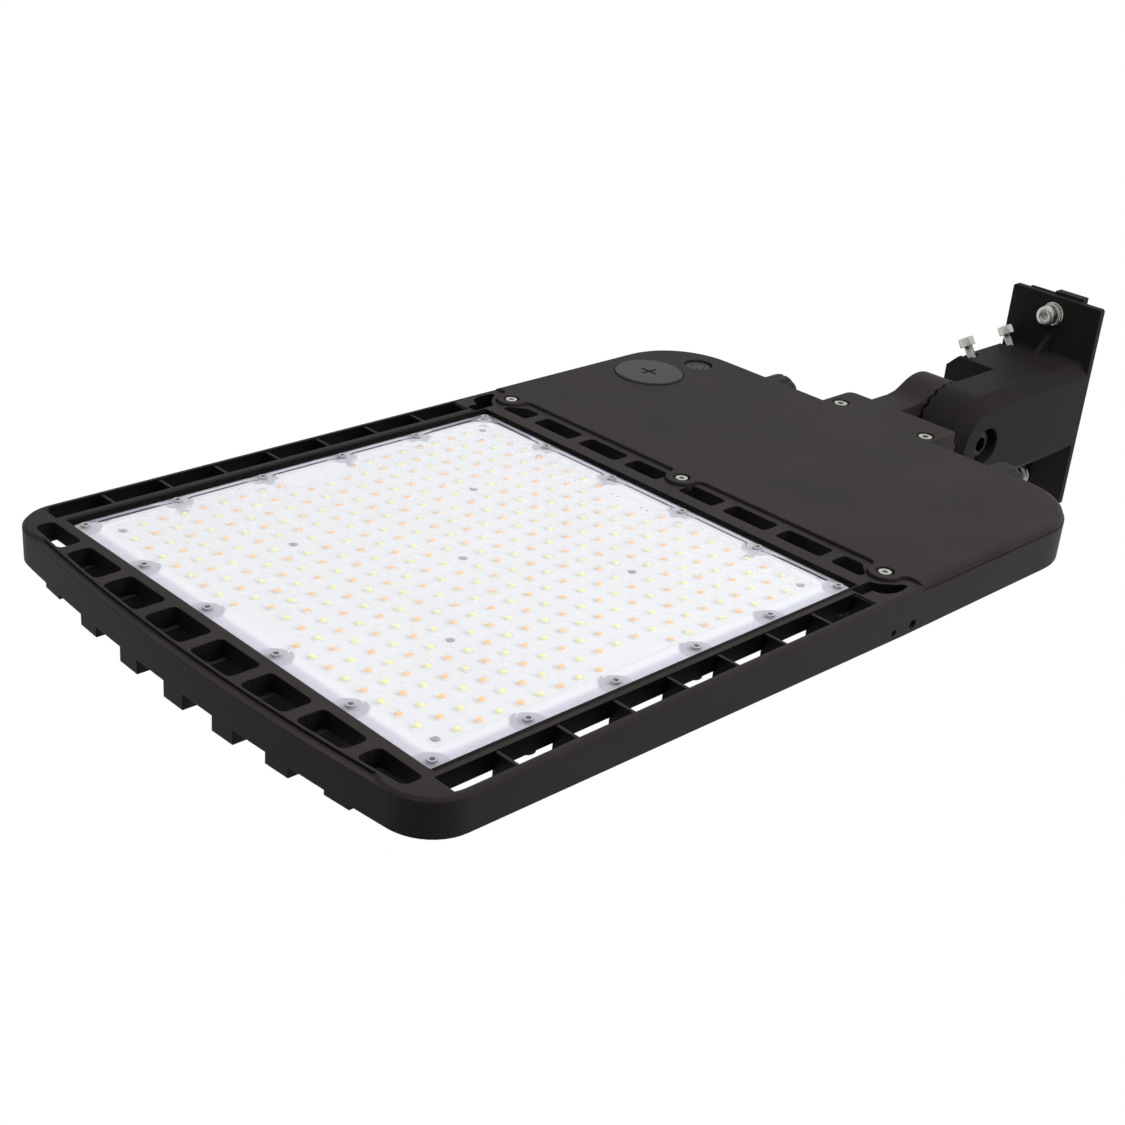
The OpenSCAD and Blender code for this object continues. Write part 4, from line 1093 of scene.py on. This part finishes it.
class SL_OT_stage(bpy.types.Operator):
    """Sets the floor, the pale surroundings, the soft lamps and the camera."""

    bl_idname = "street_light.stage"
    bl_label = "Stage"

    white = 0.88  # share of plain white in what the camera sees of the floor
    room_light = 0.05  # what the white room gives the parts
    lamps = (
        # name, place and size in metres, power in watts
        ("lamp_below", (-0.66, -0.10, -0.85), 1.1, 10.8),
        ("lamp_front", (0.30, -1.15, -0.90), 1.0, 3.4),
        ("lamp_above", (0.5, -0.6, 1.9), 1.6, 42.0),
        ("lamp_behind", (-1.0, 1.2, 1.1), 1.2, 12.0),
    )

    def execute(self, context):
        self.floor(self.white)
        self.surroundings(self.room_light)
        for name, place, size, power in self.lamps:
            self.lamp(name, place, size, power)
        self.camera()
        return {"FINISHED"}

    @staticmethod
    def floor(white, half=60):
        """A sheet of paper, which the camera sees mostly as even white."""
        z = -sizes().floor_drop
        corners = [(-half, -half, z), (half, -half, z), (half, half, z), (-half, half, z)]
        mesh = bpy.data.meshes.new("floor")
        mesh.from_pydata(corners, [], [(0, 1, 2, 3)])
        g = material_graph("floor_paper")
        fibre = g.noise(40, 4)
        tint = g.blend(g.span(fibre, 0.3, 0.7), tone(shade("floor"), 0.98), shade("floor"))
        paper = g.add("ShaderNodeBsdfDiffuse", Color=tint).outputs[0]
        glow = g.add("ShaderNodeEmission", Color=(1, 1, 1, 1), Strength=1.0).outputs[0]
        mixed = g.mix_shader(g.math("MULTIPLY", g.seen(), white), paper, glow)
        mesh.materials.append(g.output(mixed))
        place_object("floor", mesh)

    @staticmethod
    def surroundings(light):
        """A room that is white to the camera and gives the parts little light."""
        g = Graph(bpy.data.worlds.new("pale_room"))
        strength = g.span(g.seen(), 0, 1, light, 1.0)
        back = g.add("ShaderNodeBackground", Color=(1, 1, 1, 1), Strength=strength).outputs[0]
        bpy.context.scene.world = g.output(back, "ShaderNodeOutputWorld")

    @staticmethod
    def lamp(name, place, size, power):
        """A square lamp that faces the middle of the light and isn't seen itself."""
        data = bpy.data.lights.new(name, "AREA")
        data.size = size
        data.energy = power
        obj = place_object(name, data)
        away = np.array(place) - (0.0, -0.35, 0.0)
        away /= np.linalg.norm(away)
        side = np.cross((0, 0, 1.0), away)
        side /= np.linalg.norm(side)
        turn = np.stack([side, np.cross(away, side), away], 1)
        obj.matrix_world = Matrix.Translation(place) @ Matrix(turn.tolist()).to_4x4()
        obj.visible_camera = False
        obj.visible_glossy = False
        obj.visible_transmission = False

    @staticmethod
    def camera():
        """The photo's camera, as fitted to the LED array."""
        data = bpy.data.cameras.new("camera")
        data.sensor_width = 36
        data.lens = sizes().lens_length
        data.clip_start = 0.01
        obj = place_object("camera", data)
        right = (-0.69252934, 0.71683751, -0.08091408)
        up = (0.36872823, 0.25533786, -0.89377965)
        back = (-0.62003436, -0.64880394, -0.44114719)
        turn = Matrix((right, up, back)).transposed().to_4x4()
        obj.matrix_world = Matrix.Translation((-0.5821, -1.0786, -0.4152)) @ turn
        bpy.context.scene.camera = obj


STEPS = (
    SL_OT_castings,
    SL_OT_lens,
    SL_OT_leds,
    SL_OT_head_screws,
    SL_OT_arm_fasteners,
    SL_OT_glands,
    SL_OT_cap_and_vent,
    SL_OT_inner_parts,
    SL_OT_stage,
)


class SL_PT_panel(bpy.types.Panel):
    """Sizes, colours and the steps that build the light."""

    bl_idname = "SL_PT_panel"
    bl_label = "Street Light"
    bl_space_type = "VIEW_3D"
    bl_region_type = "UI"
    bl_category = "Street Light"

    def draw(self, context):
        for group in (sizes(), colours()):
            box = self.layout.box()
            for key in group.__annotations__:
                box.prop(group, key)
        for step in STEPS:
            self.layout.operator(step.bl_idname)


CLASSES = (StreetLightSizes, StreetLightColours) + STEPS + (SL_PT_panel,)


def register():
    for item in CLASSES:
        bpy.utils.register_class(item)
    bpy.types.Scene.street_light_sizes = PointerProperty(type=StreetLightSizes)
    bpy.types.Scene.street_light_colours = PointerProperty(type=StreetLightColours)


def unregister():
    del bpy.types.Scene.street_light_colours
    del bpy.types.Scene.street_light_sizes
    for item in reversed(CLASSES):
        bpy.utils.unregister_class(item)


def main():
    register()
    bpy.context.scene.view_settings.view_transform = "Standard"
    for step in STEPS:
        group, name = step.bl_idname.split(".")
        getattr(getattr(bpy.ops, group), name)()


if __name__ == "__main__":
    main()
